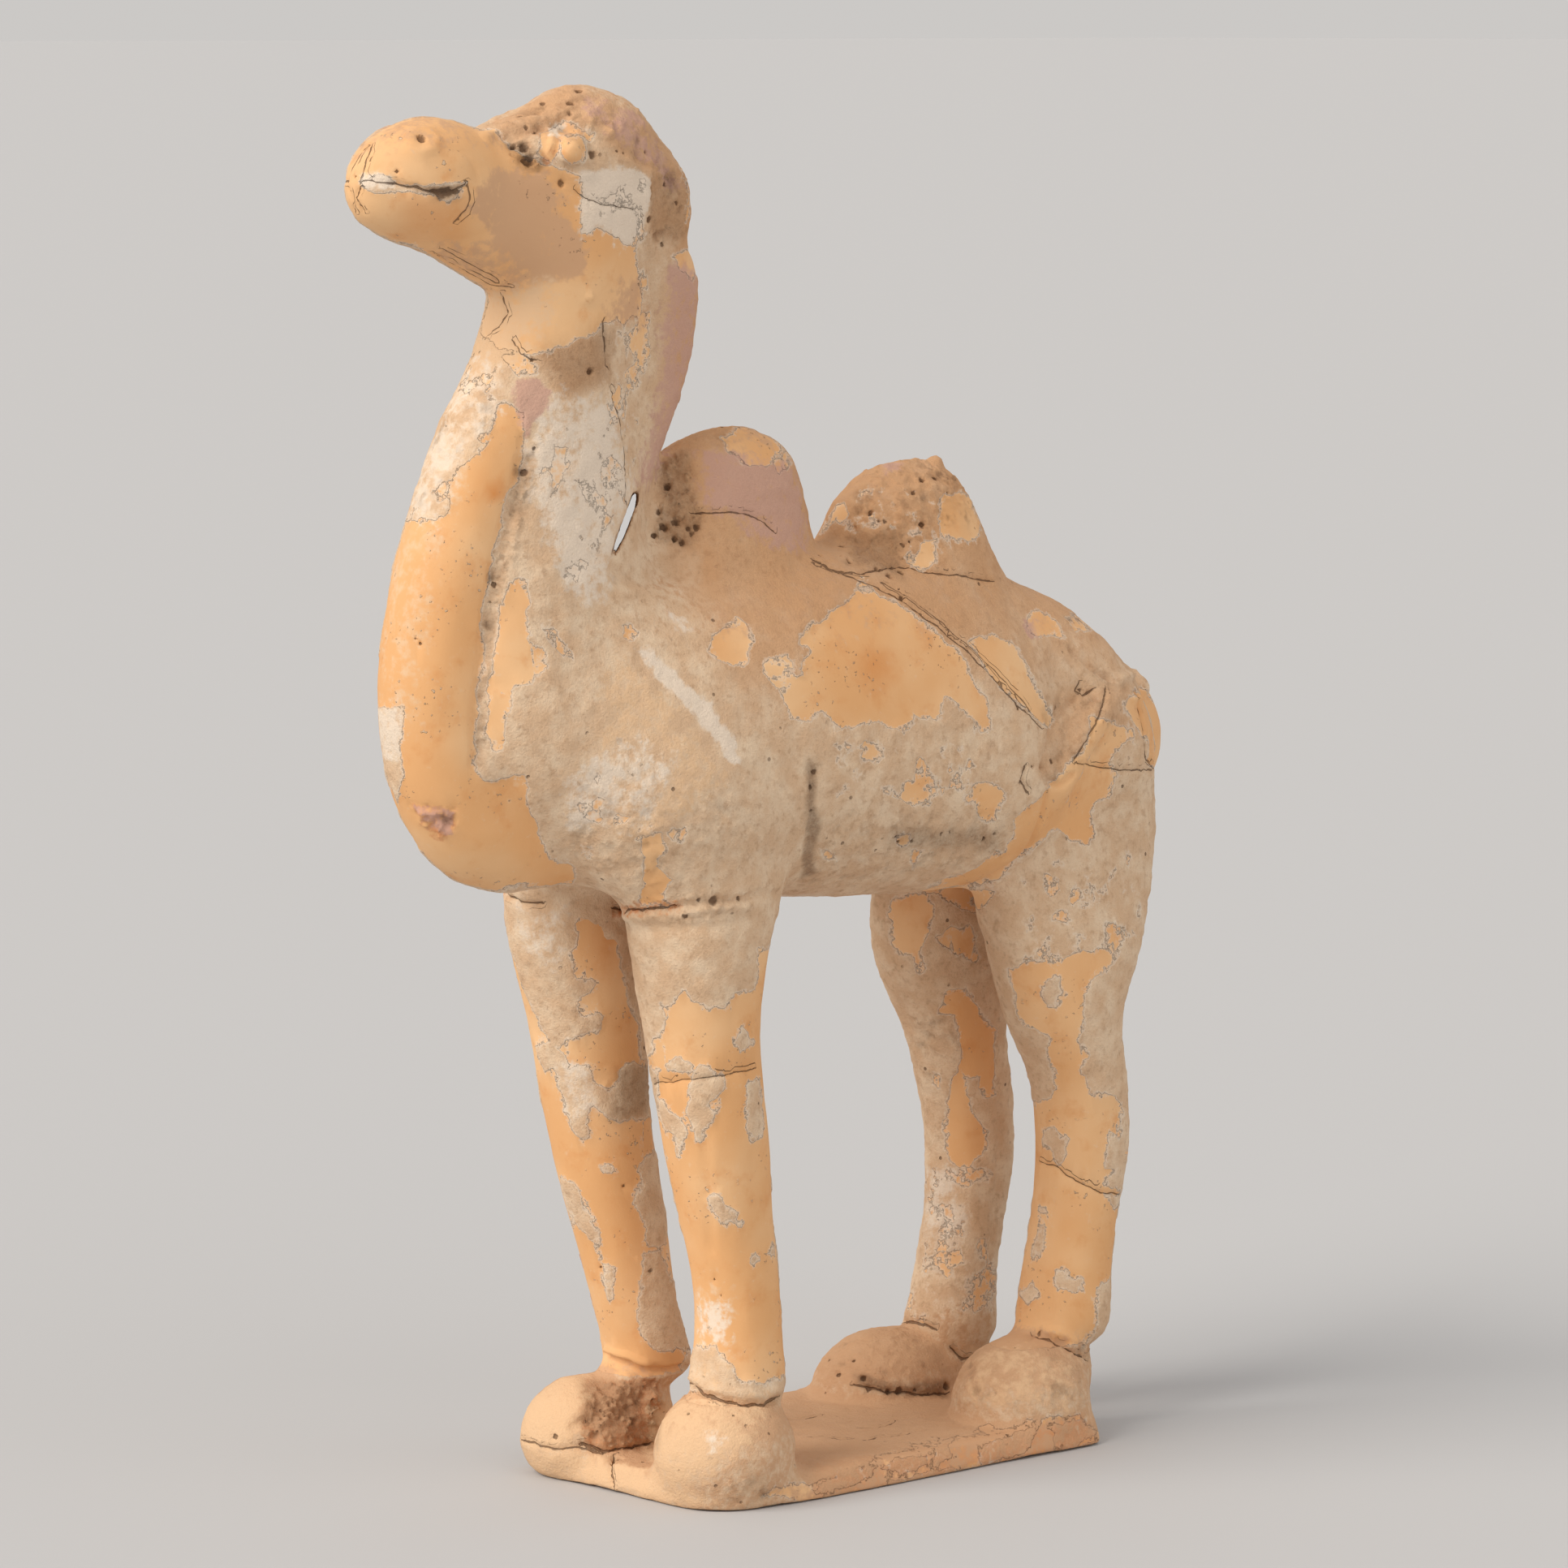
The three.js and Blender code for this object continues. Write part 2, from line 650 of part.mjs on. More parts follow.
const grid = sampled(
  figure,
  planes(-52, 52, () => FINE_CELL + 0.5),
  planes(-MUZZLE_REACH - 9, SLAB_LENGTH + 15, () => COARSE_CELL - 0.4),
  planes(-4, CROWN_HEIGHT + 12, (z) => (z < FEET_HEIGHT || z > CHIN_HEIGHT ? FINE_CELL : COARSE_CELL)),
);
const careAt = (z) => (z < FEET_HEIGHT || z > CHIN_HEIGHT ? 5 : 1);
const net = thinned(surfaceNet(figure, mendSquares(grid)), TRIANGLES, careAt);

const terracotta = new THREE.MeshStandardMaterial({ color: 0xd99a5f, roughness: 0.9, metalness: 0 });
const camel = new THREE.Mesh(netGeometry(net), terracotta);
camel.name = "camel_on_slab";

const group = new THREE.Group();
group.add(camel);
export default group;
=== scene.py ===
"""A Bactrian camel in fired clay on a thin slab, with patches of dry burial mud over bare orange clay.

Lengths are millimetres inside the script and metres in the scene. Places on the side that the
photograph shows are written as its pixels, and a ray from its camera finds them on the clay.
"""

import math

import bmesh
import bpy
import numpy as np
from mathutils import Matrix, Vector
from mathutils.bvhtree import BVHTree


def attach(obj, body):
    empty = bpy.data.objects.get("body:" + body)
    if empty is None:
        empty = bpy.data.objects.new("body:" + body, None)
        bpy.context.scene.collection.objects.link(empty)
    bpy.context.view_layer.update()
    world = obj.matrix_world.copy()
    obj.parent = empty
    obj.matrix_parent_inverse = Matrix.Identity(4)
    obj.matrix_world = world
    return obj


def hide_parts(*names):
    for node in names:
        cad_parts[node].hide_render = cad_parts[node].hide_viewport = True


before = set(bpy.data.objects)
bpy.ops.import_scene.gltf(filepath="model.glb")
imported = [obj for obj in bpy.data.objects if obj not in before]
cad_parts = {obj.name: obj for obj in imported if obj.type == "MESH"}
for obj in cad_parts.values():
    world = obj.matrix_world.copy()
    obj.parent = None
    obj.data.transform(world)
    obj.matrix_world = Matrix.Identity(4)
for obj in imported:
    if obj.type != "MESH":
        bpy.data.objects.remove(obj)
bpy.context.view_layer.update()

MM = 0.001
FAR = 9.0
FILM_KINDS = ("slip", "cream", "pink", "dust", "warm", "stain", "raw", "dirt_and_shade")
VOXEL = 0.6
TRIANGLES = 198000

# The photograph's camera in the frame's millimetres, and its picture in pixels
PICTURE = 1932
FOCAL = 7800.0
EYE = np.array([1214.3, -1084.2, 375.0])
AIM = np.array([16.0, -24.0, 181.0])

FORWARD = (AIM - EYE) / np.linalg.norm(AIM - EYE)
RIGHT = np.cross(FORWARD, [0, 0, 1]) / np.linalg.norm(np.cross(FORWARD, [0, 0, 1]))
UP = np.cross(RIGHT, FORWARD)

# Bare clay on the trunk, neck and head, which are otherwise under mud
BARE = {
    "face": [(405, 120), (560, 120), (600, 158), (622, 170), (668, 206), (686, 212), (700, 216), (714, 224),
             (713, 246), (712, 290), (740, 286), (776, 300), (790, 340), (792, 384), (764, 400), (742, 394),
             (728, 414), (704, 424), (688, 420), (662, 436), (640, 440), (620, 432), (600, 414), (580, 404),
             (604, 366), (515, 303), (405, 290)],
    "eye": [(690, 172), (704, 167), (718, 172), (722, 188), (716, 202), (703, 205), (692, 200), (688, 188)],
    "brow": [(664, 162), (684, 150), (702, 149), (718, 153), (730, 164), (725, 172), (712, 163), (696, 166),
             (682, 184), (672, 202), (660, 190)],
    "spot_under_throat": [(624, 440), (642, 438), (666, 456), (660, 466), (640, 466), (628, 458)],
    "beside_seam": [(772, 452), (782, 448), (788, 462), (780, 474), (770, 468)],
    "neck_fleck_a": [(684, 546), (698, 550), (700, 566), (690, 590), (684, 608), (676, 612), (680, 584),
                     (676, 566)],
    "neck_fleck_b": [(744, 574), (756, 578), (760, 596), (750, 604), (742, 590)],
    "band": [(612, 497), (628, 500), (642, 514), (647, 540), (640, 590), (626, 612), (618, 650), (608, 700),
             (599, 750), (596, 800), (588, 850), (584, 900), (583, 940), (592, 960), (648, 958), (652, 985),
             (662, 1010), (664, 1035), (680, 1052), (704, 1068), (702, 1100), (560, 1100), (480, 1030),
             (440, 900), (440, 780), (480, 650), (506, 640), (530, 640), (548, 641), (555, 618),
             (552, 602), (562, 580), (578, 565), (592, 552), (604, 532)],
    "strip": [(640, 712), (652, 716), (655, 740), (650, 760), (654, 788), (668, 802), (668, 828), (656, 845),
              (632, 848), (626, 860), (625, 892), (618, 920), (604, 922), (600, 898), (602, 850),
              (606, 810), (614, 786), (621, 750), (630, 722)],
    "speck_on_neck": [(668, 770), (682, 770), (688, 786), (700, 800), (702, 815), (690, 808), (672, 784)],
    "speck_by_neck": [(764, 766), (778, 768), (784, 782), (776, 790), (766, 782)],
    "hump_cap": [(890, 536), (915, 528), (945, 534), (964, 552), (950, 570), (936, 577), (918, 570),
                 (902, 556)],
    "hump_edge": [(955, 566), (968, 562), (972, 574), (962, 580)],
    "patch_under_hump": [(876, 800), (880, 780), (889, 774), (905, 768), (917, 772), (922, 788), (917, 812),
                         (911, 822), (896, 819), (884, 814)],
    "flank_drip": [(939, 828), (942, 812), (952, 808), (967, 811), (973, 826), (978, 842), (985, 862),
                   (992, 890), (978, 888), (968, 862), (958, 844)],
    "flank": [(986, 836), (986, 818), (998, 802), (982, 796), (984, 785), (998, 772), (1012, 762), (1019, 753),
              (1046, 738), (1056, 718), (1072, 722), (1078, 734), (1106, 744), (1130, 762), (1152, 780),
              (1176, 800), (1184, 818), (1204, 850), (1216, 862), (1222, 892), (1206, 906), (1195, 886),
              (1178, 868), (1164, 856), (1158, 884), (1124, 882), (1112, 902), (1098, 900), (1084, 889),
              (1052, 893), (1028, 893), (1010, 876), (1003, 885), (994, 892), (978, 888), (970, 864),
              (976, 846)],
    "behind_line": [(1193, 790), (1206, 783), (1240, 790), (1252, 800), (1262, 820), (1278, 845), (1302, 882),
                    (1294, 894), (1270, 880), (1246, 858), (1226, 838), (1206, 814)],
    "rump_top": [(1268, 755), (1286, 758), (1302, 772), (1312, 790), (1290, 784), (1276, 784), (1268, 770)],
    "rump_spot": [(1308, 762), (1330, 764), (1344, 776), (1322, 776)],
    "triangle": [(1128, 938), (1136, 931), (1144, 942), (1147, 958), (1149, 984), (1122, 987), (1107, 982),
                 (1114, 963), (1127, 957)],
    "spot_low": [(1200, 970), (1226, 962), (1241, 974), (1236, 990), (1229, 1011), (1212, 1013), (1206, 995),
                 (1197, 985)],
    "haunch": [(1342, 884), (1360, 887), (1386, 896), (1394, 910), (1372, 922), (1366, 940), (1378, 952),
               (1370, 985), (1348, 992), (1342, 1006), (1350, 1036), (1340, 1046), (1316, 1034),
               (1300, 1020), (1284, 1036), (1262, 1058), (1226, 1084), (1180, 1099), (1130, 1101),
               (1164, 1084), (1204, 1068), (1238, 1048), (1248, 1030), (1252, 1012), (1270, 990),
               (1290, 978), (1306, 958), (1326, 940), (1340, 910)],
    "haunch_spot": [(1290, 1074), (1303, 1080), (1304, 1098), (1290, 1104), (1284, 1090)],
    "tail_lump": [(1384, 866), (1402, 846), (1422, 868), (1442, 906), (1444, 930), (1428, 950), (1416, 940),
                  (1412, 914), (1396, 896)],
    "rear_hump_front": [(1028, 624), (1038, 619), (1045, 634), (1041, 648), (1026, 646), (1008, 664)],
    "rear_hump_back": [(1163, 610), (1180, 604), (1197, 618), (1212, 650), (1200, 670), (1176, 664),
                       (1154, 662), (1154, 640)],
    "rear_hump_foot": [(1134, 664), (1152, 664), (1152, 692), (1134, 700), (1126, 690)],
    "chest_strip": [(794, 1028), (816, 1026), (821, 1040), (812, 1052), (812, 1068), (828, 1088), (820, 1105),
                    (836, 1116), (800, 1120), (788, 1114), (796, 1090), (788, 1052)],
    "chest_fleck_a": [(735, 952), (742, 956), (740, 970), (733, 968)],
    "chest_fleck_b": [(722, 992), (736, 984), (744, 990), (730, 1000)],
    "chest_fleck_c": [(756, 1010), (776, 1009), (772, 1017), (758, 1018)],
    "belly_fleck_a": [(1110, 1032), (1122, 1030), (1120, 1042), (1110, 1044)],
    "belly_fleck_b": [(1124, 1050), (1136, 1052), (1130, 1070), (1124, 1064)],
    "belly_fleck_c": [(1008, 1050), (1024, 1048), (1026, 1058), (1010, 1060)],
    "mane_top": [(826, 316), (846, 308), (858, 330), (850, 344), (834, 334)],
    "nape_edge": [(836, 196), (852, 214), (860, 250), (854, 290), (846, 262), (846, 226)],
    "far_thigh_top": [(1094, 1106), (1140, 1102), (1149, 1118), (1146, 1142), (1136, 1158), (1132, 1172),
                      (1142, 1188), (1136, 1198), (1127, 1196), (1122, 1176), (1104, 1170), (1095, 1152)],
    "far_thigh_inside": [(1150, 1098), (1228, 1096), (1206, 1124), (1178, 1120)],
    "far_thigh_back": [(1150, 1154), (1178, 1143), (1202, 1146), (1200, 1188), (1184, 1180), (1168, 1164)],
    "far_shin": [(1156, 1238), (1166, 1221), (1186, 1219), (1202, 1246), (1226, 1272), (1229, 1344),
                 (1214, 1350), (1206, 1330), (1192, 1332), (1196, 1362), (1212, 1386), (1220, 1398),
                 (1214, 1422), (1194, 1433), (1180, 1432), (1164, 1396), (1162, 1368), (1172, 1342),
                 (1187, 1312), (1184, 1276), (1174, 1250), (1158, 1248)],
    "far_shin_spot": [(1158, 1541), (1172, 1534), (1188, 1540), (1184, 1555), (1164, 1556)],
    "far_shin_fleck": [(1150, 1324), (1159, 1328), (1156, 1340), (1149, 1336)],
    "near_thigh": [(1246, 1196), (1264, 1186), (1302, 1188), (1320, 1176), (1346, 1170), (1374, 1164),
                   (1370, 1188), (1346, 1200), (1334, 1230), (1334, 1262), (1330, 1280), (1341, 1300),
                   (1330, 1316), (1346, 1348), (1372, 1350), (1382, 1370), (1378, 1402), (1363, 1404),
                   (1364, 1430), (1352, 1460), (1376, 1480), (1384, 1540), (1376, 1660), (1240, 1660),
                   (1240, 1560), (1268, 1460), (1270, 1358), (1296, 1352), (1303, 1338), (1290, 1300),
                   (1295, 1276), (1270, 1262), (1252, 1254)],
    "far_fore_leg_streak": [(663, 1192), (668, 1178), (679, 1192), (687, 1214), (689, 1250), (680, 1257),
                            (668, 1238)],
    "slab_edge_front": [(940, 1836), (1000, 1830), (1070, 1800), (1160, 1776), (1150, 1812), (1020, 1856)],
    "slab_edge_back": [(1150, 1780), (1260, 1752), (1330, 1742), (1362, 1776), (1240, 1800), (1150, 1812)],
}

# Mud on what is otherwise bare
CRUST = {
    "lip_line": [(446, 216), (470, 214), (500, 226), (536, 230), (562, 224), (574, 222), (566, 240), (546, 250),
                 (524, 240), (480, 236), (447, 230)],
    "band_edge": [(456, 868), (496, 870), (494, 900), (498, 950), (492, 992), (470, 960)],
    "far_fore_top": [(606, 1098), (660, 1092), (700, 1086), (750, 1116), (718, 1122), (713, 1140), (711, 1166),
                     (699, 1180), (713, 1200), (738, 1206), (728, 1224), (715, 1229), (714, 1250),
                     (746, 1247), (738, 1271), (712, 1276), (694, 1286), (684, 1296), (668, 1262),
                     (656, 1236), (640, 1204), (622, 1150)],
    "far_fore_knee": [(660, 1290), (680, 1285), (694, 1300), (700, 1325), (716, 1314), (733, 1317),
                      (736, 1334), (750, 1345), (762, 1334), (763, 1318), (780, 1306), (812, 1318),
                      (808, 1372), (776, 1380), (758, 1383), (740, 1374), (725, 1363), (723, 1386),
                      (731, 1398), (720, 1406), (704, 1394), (696, 1368), (690, 1338), (684, 1316), (670, 1318)],
    "far_fore_dab": [(742, 1436), (752, 1432), (762, 1440), (756, 1448), (744, 1446)],
    "far_fore_back": [(782, 1482), (790, 1460), (782, 1440), (796, 1424), (812, 1418), (826, 1500),
                      (822, 1536), (795, 1536), (790, 1500)],
    "far_fore_front": [(690, 1452), (712, 1458), (720, 1492), (736, 1510), (739, 1530), (728, 1531),
                       (714, 1514), (702, 1496)],
    "far_fore_low": [(743, 1560), (755, 1564), (759, 1602), (748, 1606)],
    "far_fore_ankle": [(790, 1542), (814, 1540), (840, 1600), (850, 1660), (812, 1662), (790, 1650),
                       (786, 1600)],
    "near_fore_top": [(750, 1120), (1000, 1096), (958, 1148), (944, 1174), (931, 1170), (929, 1215),
                      (906, 1226), (888, 1242), (872, 1248), (858, 1236), (846, 1224), (832, 1238),
                      (820, 1242), (812, 1238), (818, 1256), (814, 1274), (802, 1282), (806, 1300), (792, 1302),
                      (770, 1210)],
    "near_fore_grey": [(903, 1278), (911, 1262), (922, 1272), (927, 1288), (914, 1299), (904, 1292)],
    "near_fore_dab": [(821, 1312), (835, 1302), (852, 1311), (852, 1321), (836, 1323), (823, 1321)],
    "near_fore_knee": [(858, 1310), (873, 1311), (881, 1325), (896, 1327), (895, 1346), (874, 1357),
                       (885, 1372), (882, 1386), (871, 1396), (869, 1411), (860, 1411), (859, 1395),
                       (848, 1372), (848, 1358), (854, 1343), (850, 1333)],
    "near_fore_pale": [(806, 1355), (822, 1354), (829, 1371), (846, 1382), (854, 1396), (844, 1410),
                       (841, 1430), (833, 1426), (837, 1402), (818, 1396), (808, 1380)],
    "near_fore_edge": [(922, 1332), (940, 1322), (938, 1350), (946, 1384), (938, 1402), (928, 1405),
                       (921, 1388)],
    "near_fore_scab": [(870, 1487), (878, 1474), (888, 1476), (896, 1488), (908, 1492), (908, 1500), (892, 1508),
                       (880, 1500)],
    "near_fore_bit_a": [(906, 1504), (914, 1503), (914, 1512), (908, 1513)],
    "near_fore_bit_b": [(920, 1548), (929, 1542), (934, 1554), (926, 1562)],
    "near_fore_bit_c": [(941, 1544), (950, 1528), (956, 1548)],
    "near_fore_ankle": [(846, 1664), (880, 1656), (896, 1676), (906, 1700), (950, 1704), (974, 1690),
                        (980, 1724), (940, 1734), (880, 1724), (846, 1706)],
    "thigh_hole": [(1282, 1214), (1297, 1204), (1309, 1202), (1307, 1247), (1298, 1240), (1290, 1228)],
    "near_hind_knee": [(1284, 1390), (1300, 1394), (1316, 1406), (1319, 1426), (1308, 1436), (1298, 1420),
                       (1288, 1406)],
    "near_hind_edge": [(1378, 1400), (1364, 1394), (1366, 1424), (1372, 1440), (1354, 1458), (1384, 1470),
                       (1394, 1430)],
    "near_hind_bit_a": [(1360, 1474), (1378, 1474), (1375, 1491), (1364, 1486)],
    "near_hind_bit_b": [(1280, 1486), (1290, 1486), (1290, 1498), (1282, 1494)],
    "near_hind_bit_c": [(1278, 1518), (1290, 1506), (1286, 1540), (1279, 1553), (1272, 1540)],
    "near_hind_bit_d": [(1302, 1568), (1310, 1554), (1315, 1570), (1336, 1572), (1334, 1588), (1304, 1590)],
    "near_hind_ankle": [(1344, 1606), (1358, 1576), (1378, 1570), (1378, 1660), (1330, 1660), (1350, 1640)],
    "near_hind_front": [(1250, 1596), (1272, 1580), (1280, 1594), (1262, 1606)],
    "slab_dab_a": [(1002, 1842), (1022, 1820), (1050, 1806), (1080, 1804), (1072, 1818), (1040, 1834)],
    "slab_dab_b": [(1085, 1816), (1102, 1800), (1140, 1793), (1140, 1806), (1112, 1816)],
    "slab_dab_c": [(1148, 1784), (1172, 1774), (1176, 1796), (1150, 1808)],
    "slab_dab_d": [(1204, 1786), (1232, 1768), (1282, 1754), (1274, 1776), (1254, 1792), (1208, 1802)],
    "slab_dab_e": [(1298, 1758), (1330, 1748), (1348, 1766), (1330, 1782), (1298, 1784)],
}

# Places where mud and clay show through each other: how much mud, how patchy, softness, outline
WORN = [
    (0.9, 2.4, 40, [(668, 480), (790, 440), (780, 620), (746, 760), (690, 760), (650, 640), (655, 560)]),
    (0.6, 2.4, 30, [(740, 396), (806, 320), (806, 470), (772, 600), (752, 480)]),
    (0.8, 2.0, 30, [(560, 400), (640, 440), (620, 500), (600, 540), (556, 600), (546, 644), (490, 650),
                    (540, 500)]),
    (0.7, 2.2, 30, [(716, 206), (800, 206), (800, 300), (716, 300)]),
    (0.9, 2.2, 40, [(1010, 900), (1200, 910), (1240, 960), (1210, 1000), (1020, 990)]),
    (1.1, 2.2, 40, [(700, 940), (820, 920), (900, 1000), (800, 1100), (700, 1060)]),
    (0.8, 2.2, 40, [(1250, 1080), (1410, 1020), (1420, 1160), (1340, 1220), (1250, 1190)]),
    (0.5, 2.0, 30, [(1110, 1430), (1230, 1430), (1230, 1640), (1110, 1640)]),
    (0.9, 2.0, 30, [(1050, 580), (1200, 600), (1220, 680), (1110, 700), (1030, 660)]),
    (0.4, 2.0, 20, [(1380, 840), (1440, 860), (1440, 950), (1400, 950)]),
]

# Thin films of colour on the clay or the mud: kind, strength, softness of the edge in pixels, outline
FILMS = [
    ("slip", 0.9, 14, [(782, 800), (800, 802), (830, 832), (872, 866), (900, 912), (914, 946), (902, 946),
                       (876, 910), (848, 872), (812, 846)]),
    ("slip", 0.5, 24, [(826, 756), (846, 760), (850, 784), (830, 782)]),
    ("slip", 0.65, 40, [(690, 480), (760, 500), (772, 600), (748, 700), (742, 750), (700, 730), (660, 640),
                        (650, 560)]),
    ("slip", 0.85, 14, [(716, 214), (772, 204), (798, 230), (790, 292), (770, 298), (740, 282), (716, 292)]),
    ("slip", 0.8, 8, [(444, 214), (474, 213), (486, 222), (484, 232), (448, 231)]),
    ("slip", 0.6, 8, [(682, 152), (696, 150), (692, 162), (678, 170), (672, 164)]),
    ("slip", 0.45, 40, [(510, 520), (580, 440), (620, 450), (620, 500), (570, 570), (540, 640), (500, 640)]),
    ("slip", 0.6, 16, [(456, 868), (498, 872), (496, 930), (472, 940)]),
    ("slip", 0.5, 30, [(690, 960), (790, 900), (840, 940), (800, 1010), (700, 1020)]),
    ("slip", 0.45, 40, [(640, 1110), (700, 1120), (690, 1200), (650, 1180)]),
    ("slip", 0.4, 30, [(690, 1310), (730, 1310), (736, 1370), (700, 1380)]),
    ("slip", 0.55, 24, [(862, 1604), (890, 1600), (900, 1650), (868, 1664)]),
    ("slip", 0.5, 24, [(1140, 1440), (1190, 1440), (1180, 1534), (1140, 1530)]),
    ("slip", 0.5, 12, [(864, 1768), (884, 1760), (896, 1780), (872, 1800)]),
    ("pink", 0.9, 12, [(640, 470), (664, 465), (678, 482), (672, 502), (656, 530), (648, 548), (644, 514),
                       (628, 492)]),
    ("pink", 0.75, 36, [(862, 556), (900, 560), (976, 572), (992, 640), (990, 676), (940, 670), (900, 640),
                        (866, 620)]),
    ("pink", 0.65, 30, [(818, 330), (860, 330), (860, 440), (820, 560), (792, 612), (786, 596), (806, 500)]),
    ("pink", 0.5, 24, [(722, 120), (780, 140), (820, 190), (850, 240), (820, 230), (770, 180), (720, 150)]),
    ("pink", 0.6, 12, [(1262, 756), (1276, 758), (1284, 786), (1266, 782)]),
    ("pink", 0.5, 16, [(1090, 560), (1110, 556), (1114, 580), (1094, 586)]),
    ("pink", 0.6, 10, [(508, 992), (560, 996), (556, 1030), (524, 1018)]),
    ("dust", 0.9, 22, [(600, 214), (668, 208), (690, 238), (700, 276), (722, 300), (718, 334), (676, 350),
                       (640, 332), (604, 300), (578, 262)]),
    ("dust", 0.5, 30, [(530, 302), (600, 296), (660, 330), (680, 352), (620, 366)]),
    ("dust", 0.6, 20, [(740, 366), (792, 340), (800, 400), (750, 400)]),
    ("cream", 0.8, 50, [(590, 366), (680, 352), (686, 380), (640, 440), (560, 520), (556, 440)]),
    ("cream", 0.5, 40, [(520, 500), (610, 450), (600, 540), (556, 640), (500, 640)]),
    ("cream", 0.85, 30, [(640, 1680), (742, 1656), (722, 1700), (712, 1780), (640, 1790)]),
    ("cream", 0.7, 40, [(796, 1724), (960, 1720), (920, 1780), (860, 1830), (800, 1840)]),
    ("cream", 0.7, 24, [(636, 1780), (740, 1790), (880, 1850), (800, 1856), (640, 1816)]),
    ("cream", 0.4, 40, [(1190, 1660), (1330, 1664), (1330, 1740), (1190, 1740)]),
    ("cream", 0.4, 60, [(470, 640), (540, 640), (520, 900), (470, 900)]),
    ("cream", 0.4, 50, [(856, 1580), (900, 1580), (900, 1720), (856, 1720)]),
    ("cream", 0.5, 50, [(760, 800), (860, 880), (900, 960), (800, 1040), (720, 1000), (740, 860)]),
    ("raw", 0.85, 10, [(712, 1755), (728, 1712), (745, 1700), (812, 1698), (818, 1740), (800, 1784),
                       (760, 1790), (722, 1778)]),
    ("raw", 0.7, 14, [(1000, 1808), (1160, 1778), (1334, 1744), (1360, 1782), (1160, 1814), (1000, 1848)]),
    ("raw", 0.6, 12, [(506, 990), (560, 996), (562, 1022), (540, 1034), (518, 1014)]),
    ("raw", 0.5, 10, [(664, 190), (680, 186), (682, 204), (668, 206)]),
    ("raw", 0.5, 20, [(755, 1112), (840, 1108), (836, 1126), (758, 1128)]),
    ("warm", 0.8, 24, [(596, 150), (700, 100), (800, 140), (856, 220), (856, 300), (800, 300), (796, 226),
                       (730, 160), (640, 172)]),
    ("warm", 0.7, 24, [(660, 436), (676, 420), (740, 400), (752, 470), (690, 490)]),
    ("warm", 0.6, 30, [(1300, 850), (1400, 840), (1400, 900), (1320, 960), (1280, 960)]),
    ("stain", 1.0, 16, [(586, 598), (620, 597), (624, 614), (608, 622), (596, 612)]),
    ("stain", 0.8, 34, [(1062, 808), (1096, 808), (1098, 838), (1068, 834)]),
    ("stain", 0.5, 60, [(500, 240), (560, 250), (560, 290), (500, 286)]),
    ("stain", 0.6, 14, [(758, 1116), (830, 1112), (820, 1124), (760, 1126)]),
    ("stain", 0.5, 60, [(1150, 1786), (1350, 1750), (1350, 1780), (1150, 1806)]),
    # The darkening films below are partly dirt and partly painted shade in the rough hollows, creases, mouth
    # corner and broken heel
    ("dirt_and_shade", 0.45, 10, [(620, 172), (646, 175), (664, 192), (676, 200), (660, 210), (642, 208), (630, 192)]),
    ("dirt_and_shade", 0.3, 16, [(808, 574), (846, 556), (852, 600), (866, 640), (850, 672), (806, 664), (816, 620)]),
    ("dirt_and_shade", 0.3, 24, [(660, 440), (676, 424), (706, 424), (736, 402), (750, 402), (750, 468), (700, 486)]),
    ("dirt_and_shade", 0.22, 20, [(800, 220), (846, 220), (846, 292), (800, 300)]),
    ("dirt_and_shade", 0.3, 14, [(634, 600), (648, 560), (664, 548), (654, 620), (636, 660)]),
    ("dirt_and_shade", 0.25, 8, [(526, 228), (566, 226), (568, 250), (540, 252), (524, 240)]),
    ("dirt_and_shade", 0.35, 20, [(1040, 660), (1110, 650), (1110, 712), (1060, 700)]),
    ("dirt_and_shade", 0.5, 8, [(994, 940), (1008, 940), (1004, 1080), (990, 1090)]),
    ("dirt_and_shade", 0.35, 20, [(1095, 1020), (1230, 1020), (1230, 1046), (1095, 1044)]),
    ("dirt_and_shade", 0.35, 20, [(760, 1320), (806, 1310), (806, 1372), (752, 1380)]),
    ("dirt_and_shade", 0.5, 10, [(1052, 1692), (1110, 1706), (1168, 1704), (1168, 1722), (1100, 1720), (1058, 1712)]),
    ("dirt_and_shade", 0.35, 20, [(716, 1700), (810, 1700), (810, 1782), (716, 1770)]),
]

# Grooves that the other side has too: width and depth in millimetres, then the line
PAIRED_GROOVES = [
    (3.2, 1.0, [(650, 545), (640, 590), (625, 640), (612, 700), (602, 760), (596, 820), (590, 880), (588, 940)]),
    (3.4, 0.9, [(758, 710), (796, 716), (836, 712)]),
    (0.9, 0.6, [(1002, 692), (1030, 703), (1060, 708), (1080, 702), (1110, 697), (1138, 704), (1180, 709),
                (1222, 716)]),
    (0.7, 0.35, [(1004, 697), (1040, 708), (1078, 722), (1112, 742), (1150, 768), (1192, 804), (1228, 840),
                 (1254, 870), (1282, 896)]),
    (1.1, 1.2, [(757, 1121), (790, 1123), (830, 1118)]),
    (1.5, 0.8, [(830, 1118), (862, 1114), (900, 1110), (940, 1101), (975, 1098)]),
    (1.5, 1.0, [(1290, 978), (1284, 1005), (1272, 1036), (1258, 1056), (1238, 1070), (1212, 1084), (1188, 1092)]),
]

